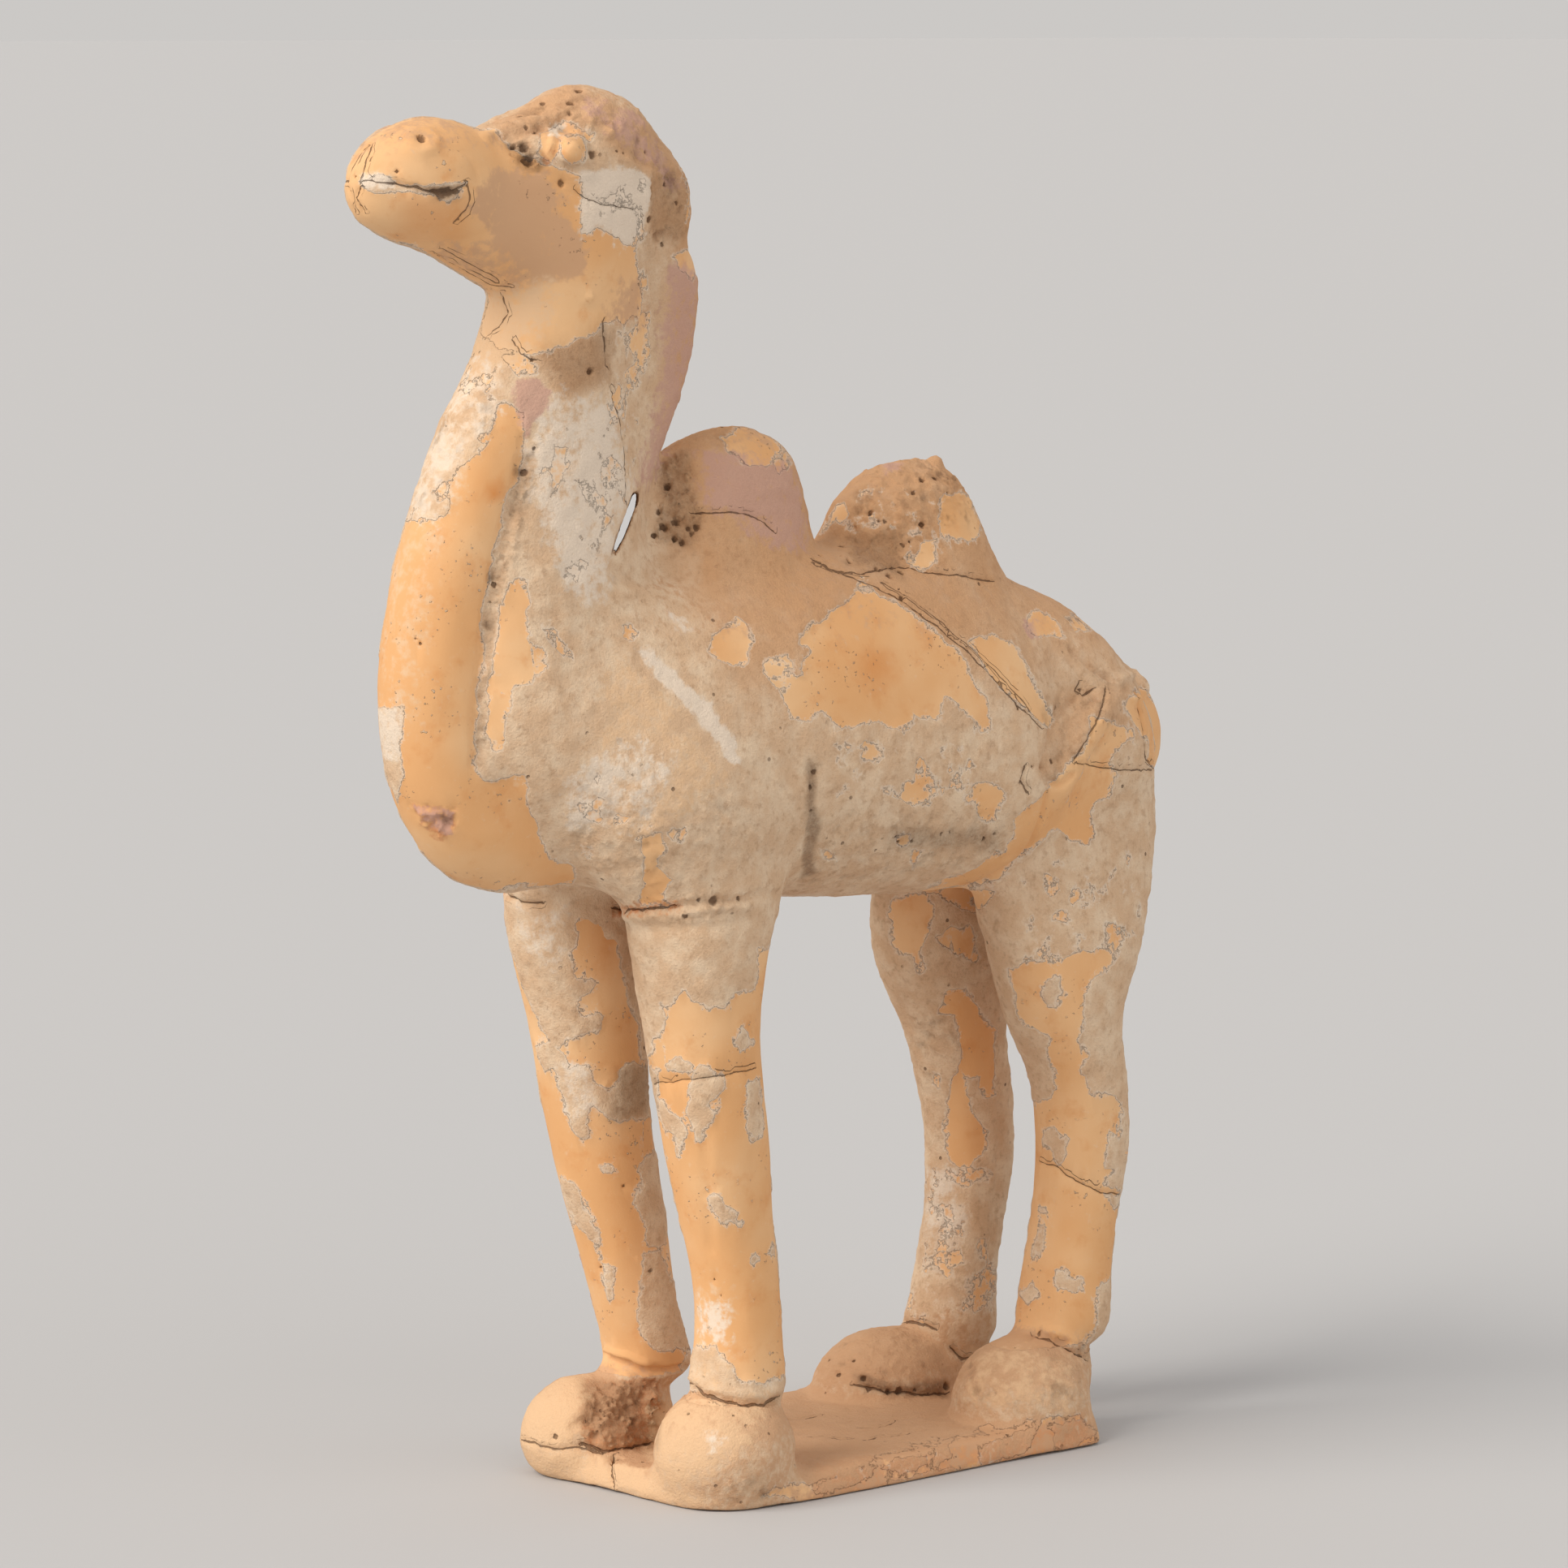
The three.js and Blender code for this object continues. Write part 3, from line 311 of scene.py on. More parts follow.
# Lines pressed or cracked into the clay: width and depth in millimetres, then the line
GROOVES = [
    (1.1, 1.2, [(484, 226), (510, 231), (538, 236), (560, 237), (573, 228)]),
    (0.8, 0.35, [(448, 223), (484, 226)]),
    (0.7, 0.35, [(458, 180), (450, 198), (447, 216)]),
    (0.7, 0.7, [(443, 232), (439, 246), (448, 260)]),
    (1.0, 0.4, [(577, 226), (580, 244), (574, 260), (562, 272)]),
    (1.4, 0.35, [(556, 182), (574, 190), (586, 206), (588, 222)]),
    (2.0, 0.4, [(518, 298), (545, 299), (572, 296), (600, 286)]),
    (0.7, 0.35, [(530, 310), (565, 330), (604, 352), (628, 354)]),
    (0.6, 0.25, [(545, 306), (580, 326), (612, 344)]),
    (1.6, 0.8, [(690, 170), (684, 188), (690, 203), (704, 210), (722, 207), (730, 196), (727, 178)]),
    (1.5, 0.7, [(612, 170), (640, 168), (668, 158), (694, 146), (716, 146), (740, 160), (762, 182), (784, 198)]),
    (0.5, 0.7, [(708, 233), (724, 244), (742, 252), (758, 254), (778, 257)]),
    (0.5, 0.6, [(618, 366), (626, 386), (613, 402), (602, 412)]),
    (0.6, 0.7, [(632, 420), (642, 435), (652, 442), (660, 443)]),
    (1.3, 0.8, [(744, 396), (745, 414), (748, 450)]),
    (0.7, 0.6, [(753, 480), (762, 512), (769, 552), (771, 600), (771, 618)]),
    (1.5, 0.6, [(795, 300), (800, 340), (806, 400), (800, 470), (786, 560)]),
    (0.8, 0.5, [(855, 632), (885, 632), (910, 631), (935, 640), (952, 654)]),
    (0.7, 0.3, [(1090, 720), (1130, 744), (1166, 774), (1204, 806), (1240, 842), (1268, 874)]),
    (2.0, 0.5, [(765, 1145), (830, 1146), (890, 1140), (920, 1132)]),
    (2.2, 0.6, [(998, 940), (1002, 970), (1001, 1005), (992, 1050), (986, 1090)]),
    (0.9, 0.7, [(1262, 945), (1258, 962), (1266, 975)]),
    (1.6, 1.0, [(1322, 862), (1302, 882), (1291, 912), (1284, 944), (1290, 962), (1306, 968), (1322, 954)]),
    (0.9, 0.5, [(1362, 850), (1356, 880), (1342, 908), (1324, 936)]),
    (0.8, 0.6, [(1330, 842), (1326, 852), (1336, 858), (1346, 850)]),
    (0.6, 0.6, [(1325, 940), (1345, 944), (1378, 948), (1404, 950), (1430, 949)]),
    (1.6, 1.2, [(1318, 800), (1334, 814), (1350, 828), (1370, 838)]),
    (1.2, 0.8, [(1402, 866), (1410, 900), (1412, 930), (1424, 950)]),
    (0.5, 0.6, [(803, 1336), (850, 1330), (888, 1326), (930, 1316)]),
    (0.6, 0.7, [(1283, 1432), (1300, 1436), (1314, 1448), (1332, 1458), (1360, 1470), (1378, 1472)]),
    (2.4, 0.35, [(868, 1400), (872, 1460), (876, 1540)]),
    (2.2, 1.1, [(708, 1758), (726, 1748), (742, 1741), (766, 1743)]),
    (1.0, 1.2, [(716, 1778), (745, 1787), (772, 1784), (800, 1778)]),
    (1.2, 1.3, [(852, 1704), (866, 1716), (886, 1724), (912, 1729), (944, 1730), (962, 1722)]),
    (1.6, 1.6, [(746, 1670), (768, 1679), (792, 1688), (820, 1690), (842, 1684)]),
    (1.1, 1.3, [(1274, 1644), (1296, 1650), (1318, 1662), (1344, 1676)]),
    (1.1, 0.8, [(1102, 1630), (1124, 1628), (1152, 1637)]),
    (1.2, 1.2, [(1174, 1662), (1186, 1674), (1196, 1672)]),
    (0.9, 1.0, [(756, 1795), (752, 1810), (756, 1834)]),
    (1.0, 0.6, [(646, 1774), (680, 1786), (712, 1784), (742, 1790)]),
    (0.8, 0.5, [(968, 1750), (990, 1748), (1012, 1744)]),
    (0.6, 0.3, [(1060, 1760), (1082, 1760), (1104, 1752)]),
    (0.6, 0.3, [(1000, 1772), (1060, 1774), (1120, 1768)]),
    (1.1, 0.8, [(1054, 1706), (1090, 1714), (1130, 1718), (1166, 1716)]),
    (1.4, 0.4, [(1226, 1290), (1232, 1380), (1226, 1480), (1216, 1570)]),
]

# Raised rims and rolls: width and height in millimetres, then the line
RIDGES = [
    (1.3, 0.4, [(504, 166), (514, 159), (530, 160), (540, 172), (535, 185), (520, 190), (506, 184), (503, 168)]),
    (1.3, 0.5, [(684, 168), (677, 188), (684, 207), (702, 217), (726, 214)]),
    (2.0, 1.0, [(598, 170), (630, 158), (652, 150), (690, 142), (720, 150), (748, 164)]),
    (2.0, 0.8, [(748, 164), (772, 190), (792, 214), (797, 250), (795, 290), (800, 306)]),
    (1.2, 0.35, [(1000, 690), (1036, 702), (1076, 716), (1110, 736), (1150, 762), (1190, 797), (1230, 836),
                 (1262, 868)]),
    (1.6, 0.9, [(856, 1700), (876, 1712), (904, 1718), (940, 1720), (960, 1712)]),
    (1.6, 0.9, [(1284, 1640), (1304, 1640), (1330, 1656), (1350, 1668)]),
    (1.4, 0.8, [(742, 1662), (768, 1670), (796, 1680)]),
    (1.4, 0.7, [(760, 1128), (820, 1130), (870, 1120), (920, 1118)]),
    (1.5, 0.8, [(1380, 838), (1398, 830), (1410, 842), (1408, 858), (1396, 862)]),
]

# Round swellings: place, radius and height in millimetres
DOMES = [
    (518, 177, 6.5, 0.8), (705, 187, 4.0, 1.3), (727, 366, 1.7, 0.9), (1152, 572, 3.2, 1.8), (1172, 592, 2.4, 1.0),
    (1209, 636, 2.0, 0.9), (1296, 642, 2.0, 0.8), (1296, 1646, 2.2, 0.9), (722, 105, 1.4, 0.9),
    (784, 138, 1.6, 0.7), (740, 1664, 1.6, 0.9), (854, 1694, 2.4, 0.7), (1404, 846, 3.6, 1.2),
]

# Single pits and holes: place, radius and depth in millimetres
PITS = [
    (518, 172, 1.5, 1.3), (545, 240, 1.8, 1.6), (536, 236, 1.1, 1.0), (555, 237, 1.4, 1.3), (564, 236, 1.0, 0.9),
    (489, 211, 0.7, 0.9), (731, 190, 1.4, 1.2),
    (437, 218, 0.7, 0.8), (692, 226, 1.2, 1.0), (634, 178, 1.4, 1.8), (646, 180, 1.5, 1.6), (652, 196, 1.8, 1.6),
    (640, 142, 1.1, 1.0), (627, 152, 1.1, 1.0), (648, 157, 0.9, 0.9), (668, 126, 1.0, 0.9), (703, 127, 1.2, 1.6),
    (702, 141, 1.0, 1.4), (660, 160, 0.7, 0.8), (712, 112, 1.2, 1.6), (760, 186, 0.8, 0.7), (768, 189, 0.7, 0.7),
    (796, 188, 0.8, 1.0), (811, 181, 0.8, 0.9), (801, 235, 0.8, 1.8), (800, 243, 0.8, 1.8), (820, 227, 1.0, 1.2),
    (797, 270, 0.9, 1.3), (799, 285, 0.8, 1.2), (817, 302, 0.8, 0.9), (836, 250, 0.9, 0.9), (744, 412, 0.8, 1.2),
    (727, 458, 1.1, 1.5), (655, 443, 0.7, 0.9), (512, 787, 0.7, 1.0), (517, 793, 0.8, 1.0), (648, 582, 1.0, 1.2),
    (659, 552, 0.7, 1.0), (610, 720, 0.8, 0.9), (604, 742, 0.7, 0.9), (822, 598, 1.2, 1.8), (812, 630, 1.1, 1.4),
    (818, 650, 1.5, 1.8), (832, 644, 1.4, 1.8), (806, 660, 1.0, 1.2), (830, 664, 1.1, 1.6), (842, 668, 1.1, 1.8),
    (852, 658, 1.2, 1.6), (858, 650, 1.0, 1.4), (848, 652, 0.9, 1.2), (1072, 632, 1.0, 1.6),
    (1083, 642, 0.9, 1.1), (1090, 643, 0.8, 0.9), (1136, 646, 1.1, 1.6), (1136, 592, 1.0, 1.4),
    (1126, 606, 1.2, 1.0), (1152, 588, 0.9, 1.2), (1166, 607, 0.7, 1.0), (1037, 673, 1.1, 1.0),
    (1046, 690, 1.0, 1.3), (1055, 690, 0.6, 0.9), (1010, 686, 0.9, 0.9), (1082, 702, 1.1, 1.0),
    (1096, 710, 1.4, 1.6), (1110, 706, 1.2, 1.0), (1112, 671, 0.9, 0.8), (1121, 667, 0.5, 0.9),
    (1110, 738, 0.9, 1.2), (1254, 871, 1.1, 1.2), (1004, 951, 0.9, 0.9), (1000, 970, 1.0, 1.0),
    (1001, 1000, 1.0, 1.0), (1104, 1032, 0.9, 1.0), (1108, 1038, 0.8, 0.9), (1124, 1038, 0.9, 0.9),
    (1160, 1028, 0.8, 0.8), (1172, 1027, 0.7, 0.8), (1212, 1034, 1.0, 1.3), (1226, 1028, 0.8, 0.9),
    (1332, 850, 0.9, 1.0), (1303, 872, 0.8, 1.1), (1283, 946, 0.9, 1.2), (1296, 938, 1.0, 1.2),
    (1272, 944, 0.7, 0.9), (1256, 964, 0.8, 1.0), (1352, 830, 1.0, 1.4), (1364, 836, 0.8, 1.0),
    (1398, 842, 1.7, 2.8), (1399, 856, 1.0, 1.6), (1425, 948, 1.0, 1.2), (1325, 758, 0.9, 1.0),
    (768, 1461, 0.6, 0.7), (740, 1562, 0.5, 0.6), (880, 1576, 0.5, 0.5), (888, 1596, 0.5, 0.5),
    (802, 1565, 1.2, 0.8), (880, 1110, 1.5, 1.0), (862, 1110, 0.9, 1.0), (912, 1108, 1.0, 1.0),
    (844, 1128, 0.9, 0.9), (1280, 1642, 1.0, 1.2), (1345, 1668, 1.0, 0.8), (762, 1798, 1.5, 2.2),
    (754, 1802, 1.0, 1.2), (684, 1770, 0.9, 0.7), (1063, 1698, 1.1, 1.4), (1070, 1712, 1.0, 1.2),
    (1094, 1714, 1.0, 1.4), (1108, 1714, 1.1, 1.4), (1128, 1712, 0.9, 1.1), (1146, 1716, 0.9, 1.1),
    (1166, 1708, 1.4, 1.6), (1022, 1676, 0.6, 0.7), (1033, 1694, 0.9, 0.9), (1052, 1676, 0.7, 0.8),
    (1136, 1632, 0.8, 0.8), (1116, 1630, 0.7, 0.8), (904, 1744, 0.6, 0.4), (848, 1742, 0.9, 0.7),
    (1241, 1768, 0.6, 0.7), (980, 1806, 0.9, 0.8),
]

# Rough broken ground: how deep in millimetres, softness of its edge in pixels, outline
BROKEN = [
    (1.3, 12, [(620, 170), (650, 172), (672, 196), (664, 212), (642, 208), (628, 190)]),
    (1.3, 16, [(806, 574), (848, 552), (854, 600), (868, 640), (854, 674), (800, 668), (812, 620)]),
    (0.8, 24, [(1060, 572), (1120, 556), (1180, 552), (1222, 600), (1226, 652), (1180, 640), (1150, 660),
               (1120, 706), (1040, 700), (1050, 640)]),
    (0.5, 30, [(820, 540), (880, 520), (930, 524), (900, 548), (850, 560)]),
    (0.5, 30, [(500, 560), (560, 460), (620, 450), (606, 520), (560, 580), (540, 640), (500, 640)]),
    (0.4, 30, [(700, 950), (900, 960), (960, 1060), (800, 1100), (690, 1060)]),
    (0.5, 20, [(1000, 1000), (1260, 1000), (1240, 1060), (1000, 1094)]),
    (0.5, 20, [(1280, 860), (1360, 836), (1400, 850), (1340, 940), (1290, 970)]),
    (0.5, 20, [(1000, 1660), (1110, 1630), (1170, 1690), (1050, 1700), (1000, 1700)]),
    (0.5, 20, [(1180, 1670), (1340, 1670), (1340, 1740), (1180, 1740)]),
    (1.0, 16, [(640, 560), (662, 545), (655, 600), (640, 650), (630, 700), (620, 760), (606, 800), (600, 940),
               (584, 940), (588, 850), (600, 720), (622, 640)]),
    (1.0, 14, [(504, 990), (560, 996), (562, 1022), (540, 1034), (518, 1014)]),
    (0.8, 20, [(796, 200), (850, 220), (856, 290), (800, 306)]),
    (0.7, 30, [(690, 108), (800, 150), (850, 220), (800, 220), (760, 170), (640, 165), (610, 158)]),
    (1.6, 18, [(716, 1752), (728, 1712), (746, 1700), (812, 1698), (818, 1740), (800, 1782), (760, 1788),
               (726, 1776)]),
    (0.8, 16, [(1052, 1692), (1110, 1704), (1170, 1704), (1166, 1722), (1100, 1722), (1056, 1714)]),
    (0.7, 16, [(760, 1106), (920, 1096), (924, 1130), (800, 1140)]),
    (0.6, 16, [(890, 1820), (960, 1826), (962, 1856), (900, 1856)]),
    (0.7, 12, [(1284, 1636), (1350, 1656), (1346, 1680), (1280, 1650)]),
    (0.5, 30, [(740, 1320), (806, 1310), (806, 1374), (740, 1380)]),
    (0.5, 24, [(1120, 1250), (1176, 1250), (1186, 1300), (1150, 1330), (1120, 1310)]),
]


# The open slot between the end of the mane and the front hump
SLOT = [(778, 607), (788, 602), (784, 626), (777, 646), (769, 665), (757, 687), (750, 690), (758, 662), (766, 640)]

# Strokes above this row of the picture are on the face, and its other side repeats them
FACE_BOTTOM = 310

# A groove narrower than this, in millimetres, has a dark line of painted shade along it
HAIRLINE = 1.35


# Random fields

def smooth(t):
    t = np.clip(t, 0, 1)
    return t * t * (3 - 2 * t)


def step(value, low, high):
    """From 0 to 1, smoothly, as value goes from low to high."""
    return smooth((value - low) / (high - low))


def value_noise(at, seed):
    """Smooth random values between the corners of unit cells, from -1 to 1."""
    side = 64
    table = np.random.default_rng(seed).uniform(-1, 1, side**3).astype(np.float32)
    cell = np.floor(at).astype(np.int64)
    part = (at - cell).astype(np.float32)
    part = part * part * (3 - 2 * part)
    total = np.zeros(len(at), np.float32)
    for corner in range(8):
        offset = np.array([corner & 1, corner >> 1 & 1, corner >> 2 & 1])
        place = (cell + offset) % side
        share = np.prod(np.where(offset, part, 1 - part), axis=1)
        total += table[(place[:, 0] * side + place[:, 1]) * side + place[:, 2]] * share
    return total


TURN = np.array([[0.36, 0.48, -0.8], [-0.8, 0.6, 0.0], [0.48, 0.64, 0.6]], np.float32)


def noise(points, size, seed, octaves=3):
    """Layered noise whose largest lumps are size millimetres across."""
    at = points / size
    total, weight, whole = 0, 1, 0
    for octave in range(octaves):
        total = total + value_noise(at, seed + 17 * octave) * weight
        whole += weight
        weight *= 0.55
        at = at @ TURN * 2.03 + 3.7
    return total / whole * 1.5


# Places on the photograph

def to_picture(points):
    """The photograph's pixels of points in space."""
    from_eye = points - EYE
    depth = from_eye @ FORWARD
    return np.stack([PICTURE / 2 + FOCAL * (from_eye @ RIGHT) / depth,
                     PICTURE / 2 - FOCAL * (from_eye @ UP) / depth], axis=1)


def inside_by(pixels, outline, reach=45.0):
    """How many pixels each place is inside a closed outline, and below 0 outside it."""
    corners = np.array(outline, np.float32)
    result = np.full(len(pixels), -reach, np.float32)
    near = np.all((pixels > corners.min(0) - reach) & (pixels < corners.max(0) + reach), axis=1)
    place = pixels[near]
    gap = np.full(len(place), np.inf)
    inside = np.zeros(len(place), bool)
    for a, b in zip(corners, np.roll(corners, -1, axis=0)):
        along = np.clip((place - a) @ (b - a) / ((b - a) @ (b - a)), 0, 1)
        gap = np.minimum(gap, np.linalg.norm(place - a - along[:, None] * (b - a), axis=1))
        crosses = (a[1] > place[:, 1]) != (b[1] > place[:, 1])
        with np.errstate(divide="ignore", invalid="ignore"):
            meets = a[0] + (b[0] - a[0]) * (place[:, 1] - a[1]) / (b[1] - a[1])
        inside ^= crosses & (place[:, 0] < meets)
    result[near] = np.clip(np.where(inside, gap, -gap), -reach, reach)
    return result


class Surface:
    """The clay's skin as arrays: where its vertices are, which way they face, and where the photo sees them."""

    def __init__(self, mesh):
        self.mesh = mesh
        self.points = read(mesh.vertices, "co", 3) / MM
        self.normals = read(mesh.vertices, "normal", 3)
        self.pixels = to_picture(self.points)
        to_eye = EYE - self.points
        to_eye /= np.linalg.norm(to_eye, axis=1)[:, None]
        self.facing = np.sum(self.normals * to_eye, axis=1)
        self.seen = step(self.facing, -0.05, 0.2)
        self.tree = BVHTree.FromPolygons(self.points.tolist(), [p.vertices[:] for p in mesh.polygons])

    def place(self, pixel):
        """The point on the clay that the photograph shows at a pixel, or none."""
        across = (pixel[0] - PICTURE / 2) / FOCAL
        down = (pixel[1] - PICTURE / 2) / FOCAL
        ray = FORWARD + across * RIGHT - down * UP
        hit = self.tree.ray_cast(Vector(EYE), Vector(ray).normalized())[0]
        return None if hit is None else np.array(hit)

    def near(self, middle, radius):
        return np.flatnonzero(np.sum((self.points - middle) ** 2, axis=1) < radius * radius)

    def across(self, place):
        """The point of the clay's other side that mirrors a place."""
        return np.array(self.tree.find_nearest((-place[0], place[1], place[2]))[0])

    def line(self, pixels, spacing=1.0):
        """A line drawn through pixels, laid on the clay as points about spacing apart."""
        placed = []
        for a, b in zip(pixels, pixels[1:]):
            count = max(1, round(math.dist(a, b) * 0.2 / spacing))
            for i in range(count):
                share = i / count
                placed.append(self.place((a[0] + (b[0] - a[0]) * share, a[1] + (b[1] - a[1]) * share)))
        placed.append(self.place(pixels[-1]))
        return [p for p in placed if p is not None]

    def lines(self, pixels, paired):
        """The line, and on the face or where it is paired, its like on the other side."""
        path = self.line(pixels)
        if len(path) < 2:
            return []
        if paired or max(v for u, v in pixels) < FACE_BOTTOM:
            return [path, [self.across(p) for p in path]]
        return [path]

    def spots(self, pixel):
        """The place at a pixel, and on the face its like on the other side."""
        place = self.place(pixel)
        if place is None:
            return []
        return [place, self.across(place)] if pixel[1] < FACE_BOTTOM else [place]


def read(items, name, width):
    values = np.zeros(len(items) * width, np.float32)
    items.foreach_get(name, values)
    return values.reshape(-1, width).astype(np.float64) if width > 1 else values


# The clay

def applied(piece):
    """The piece with its modifiers made final."""
    graph = bpy.context.evaluated_depsgraph_get()
    mesh = bpy.data.meshes.new_from_object(piece.evaluated_get(graph))
    piece.modifiers.clear()
    piece.data = mesh


def sight_block(outline, near, far):
    """A block that covers an outline of the picture, from one distance off the camera to another."""
    corners = []
    for distance in (near, far):
        for u, v in outline:
            ray = FORWARD + (u - PICTURE / 2) / FOCAL * RIGHT - (v - PICTURE / 2) / FOCAL * UP
            corners.append((EYE + ray * distance) * MM)
    count = len(outline)
    build = bmesh.new()
    ends = [build.verts.new(corner) for corner in corners]
    build.faces.new(ends[:count])
    build.faces.new(ends[count:][::-1])
    for i in range(count):
        j = (i + 1) % count
        build.faces.new((ends[i], ends[j], ends[count + j], ends[count + i]))
    bmesh.ops.recalc_face_normals(build, faces=build.faces)
    mesh = bpy.data.meshes.new("sight_block")
    build.to_mesh(mesh)
    build.free()
    block = bpy.data.objects.new("sight_block", mesh)
    bpy.context.scene.collection.objects.link(block)
    return block


def crease_slab(build):
    """Keeps the slab's cut edges sharp while the rest is rounded."""
    layer = build.edges.layers.float.new("crease_edge")
    for edge in build.edges:
        low = max(v.co.z for v in edge.verts) < 9 * MM
        if low and len(edge.link_faces) == 2 and edge.calc_face_angle() > math.radians(40):
            edge[layer] = 0.9


def fine_clay(node):
    """A fine even copy of the solid, with its facets rounded off."""
    mesh = node.data.copy()
    build = bmesh.new()
    build.from_mesh(mesh)
    bmesh.ops.remove_doubles(build, verts=build.verts, dist=1e-6)
    bmesh.ops.recalc_face_normals(build, faces=build.faces)
    crease_slab(build)
    build.to_mesh(mesh)
    build.free()
    mesh.materials.clear()
    piece = bpy.data.objects.new("terracotta_camel", mesh)
    bpy.context.scene.collection.objects.link(piece)
    rounding = piece.modifiers.new("rounding", "SUBSURF")
    rounding.levels = rounding.render_levels = 2
    applied(piece)
    block = sight_block(SLOT, 1500, 1700)
    slot = piece.modifiers.new("slot", "BOOLEAN")
    slot.operation = "DIFFERENCE"
    slot.object = block
    applied(piece)
    bpy.data.objects.remove(block)
    even = piece.modifiers.new("even", "REMESH")
    even.mode = "VOXEL"
    even.voxel_size = VOXEL * MM
    applied(piece)
    return piece


def moved(piece, surface, offsets):
    """Moves each vertex along its normal by its offset in millimetres."""
    points = surface.points + surface.normals * offsets[:, None]
    piece.data.vertices.foreach_set("co", (points * MM).astype(np.float32).ravel())
    piece.data.update()


# Relief

def along_line(surface, path, width):
    """The vertices near a line on the clay, their nearness from 0 to 1, and their distance to each side."""
    path = np.array(path)
    reach = max(2 * width, 2.5)
    low, high = path.min(0) - reach, path.max(0) + reach
    near = np.flatnonzero(np.all((surface.points > low) & (surface.points < high), axis=1))
    wobble = np.stack([noise(surface.points[near], 2.5, 900 + k, 2) for k in range(3)], axis=1) * 0.35
    places = surface.points[near] + wobble
    gap = np.full(len(near), FAR)
    side = np.full(len(near), FAR)
    for a, b in zip(path, path[1:]):
        span = b - a
        if not 1e-6 < np.linalg.norm(span) < 8:
            continue
        along = np.clip((places - a) @ span / (span @ span), 0, 1)
        off = places - a - along[:, None] * span
        distance = np.linalg.norm(off, axis=1)
        turn = np.sum(np.cross(span, surface.normals[near]) * off, axis=1)
        side = np.where(distance < gap, np.copysign(distance, turn), side)
        gap = np.minimum(gap, distance)
    return near, 1 - step(gap, width * 0.15, width), side


def relief(surface):
    """How far each vertex is moved by lines, rims, domes and pits, and the layers that paint shade into the
    hairline cracks and pits.
    """
    count = len(surface.points)
    offsets = np.zeros(count)
    layers = {"crack_shade": np.zeros(count), "crack_side": np.full(count, FAR), "pit": np.full(count, -1.0)}
    for grooves, paired in ((PAIRED_GROOVES, True), (GROOVES, False)):
        for width, depth, pixels in grooves:
            for path in surface.lines(pixels, paired):
                near, share, side = along_line(surface, path, width)
                offsets[near] -= depth * share
                # A narrow groove also gets a dark line of painted shade along it, which the finish draws
                if width < HAIRLINE:
                    closeness = 1 - np.clip(np.abs(side) / 2.2, 0, 1)
                    closer = closeness > layers["crack_shade"][near]
                    layers["crack_shade"][near[closer]] = closeness[closer]
                    layers["crack_side"][near[closer]] = side[closer] / width
    for width, height, pixels in RIDGES:
        for path in surface.lines(pixels, False):
            near, share, side = along_line(surface, path, width * 1.3)
            offsets[near] += height * share
    for u, v, radius, height in DOMES:
        for middle in surface.spots((u, v)):
            near = surface.near(middle, radius)
            gap = np.linalg.norm(surface.points[near] - middle, axis=1)
            offsets[near] += height * step(radius - gap, 0, radius * 0.8)
    for u, v, radius, depth in PITS:
        for middle in surface.spots((u, v)):
            near = surface.near(middle, radius * 2)
            wobble = noise(surface.points[near], radius * 1.6, 40, 2) * radius * 0.35
            gap = np.linalg.norm(surface.points[near] - middle, axis=1) + wobble
            offsets[near] -= depth * (1 - step(gap, radius * 0.2, radius * 1.15))
            # Nearness to the pit's middle, which the finish paints dark as shade inside the hole
            layers["pit"][near] = np.maximum(layers["pit"][near], 1 - gap / radius)
    return offsets, layers


def broken_ground(surface):
    """Rough hollows where the skin is gone: how far the clay sinks there, and the darkening in their deepest
    parts, partly dirt and partly painted shade.
    """
    lumps = noise(surface.points, 4.0, 300, 4)
    chips = np.abs(noise(surface.points, 3.0, 330, 3))
    sunk = np.zeros(len(surface.points))
    dirt_and_shade = np.zeros(len(surface.points))
    for depth, softness, outline in BROKEN:
        inside = step(inside_by(surface.pixels, outline), -softness / 2, softness / 2) * surface.seen
        sunk += inside * depth * (0.35 + 0.9 * lumps - 0.7 * (1 - step(chips, 0.0, 0.22)))
        # Darker where the hollow sinks deepest: partly dirt, partly painted shade
        dirt_and_shade = np.maximum(dirt_and_shade, inside * step(lumps, 0.3, 0.8) * min(1, depth) * 0.6)
    return sunk, dirt_and_shade


# Layers on the clay

def painted(surface, outlines, wander):
    """The largest distance in millimetres inside any of the outlines."""
    result = np.full(len(surface.points), -9.0)
    for outline in outlines.values():
        result = np.maximum(result, inside_by(wander, outline) * 0.2)
    return result


def mud_depth(surface):
    """How far each vertex is inside the mud, in millimetres along the skin; below 0 is bare clay."""
    x, y, z = surface.points.T
    wander = surface.pixels + np.stack(
        [noise(surface.points, 7.0, 500, 3) * 7, noise(surface.points, 7.0, 540, 3) * 7], axis=1)
    bare = painted(surface, BARE, wander)
    crust = painted(surface, CRUST, wander)
    shown = np.maximum(np.minimum(np.where(left_bare(surface), -3.0, 6.0), -bare), crust)
    patchy = noise(surface.points, 5.0, 580, 4)
    for much, patchiness, softness, outline in WORN:
        share = step(inside_by(wander, outline), -softness / 2, softness / 2) * (bare < -0.4)
        shown = shown * (1 - share) + (much + patchiness * patchy) * share
    lumps = noise(surface.points, 26.0, 560, 4) + 0.3 * patchy
    hidden = 5 * (lumps - 0.12 + 0.42 * step(z, 120, 180))
    hidden = np.where(z < 26, 4 * (lumps + 0.5), hidden)
    return hidden * (1 - surface.seen) + shown * surface.seen


def left_bare(surface):
    """The skin that is bare where no mud is drawn: the fore legs, and the near hind leg below its knee."""
    x, y, z = surface.points.T
    ragged = noise(surface.points, 12.0, 555, 3) * 8
    fore = (y < 0) & (z < 146 + ragged)
    near_hind = (x > 0) & (y >= 0) & (z < 74 + ragged)
    return (fore | near_hind) & (z > 26)


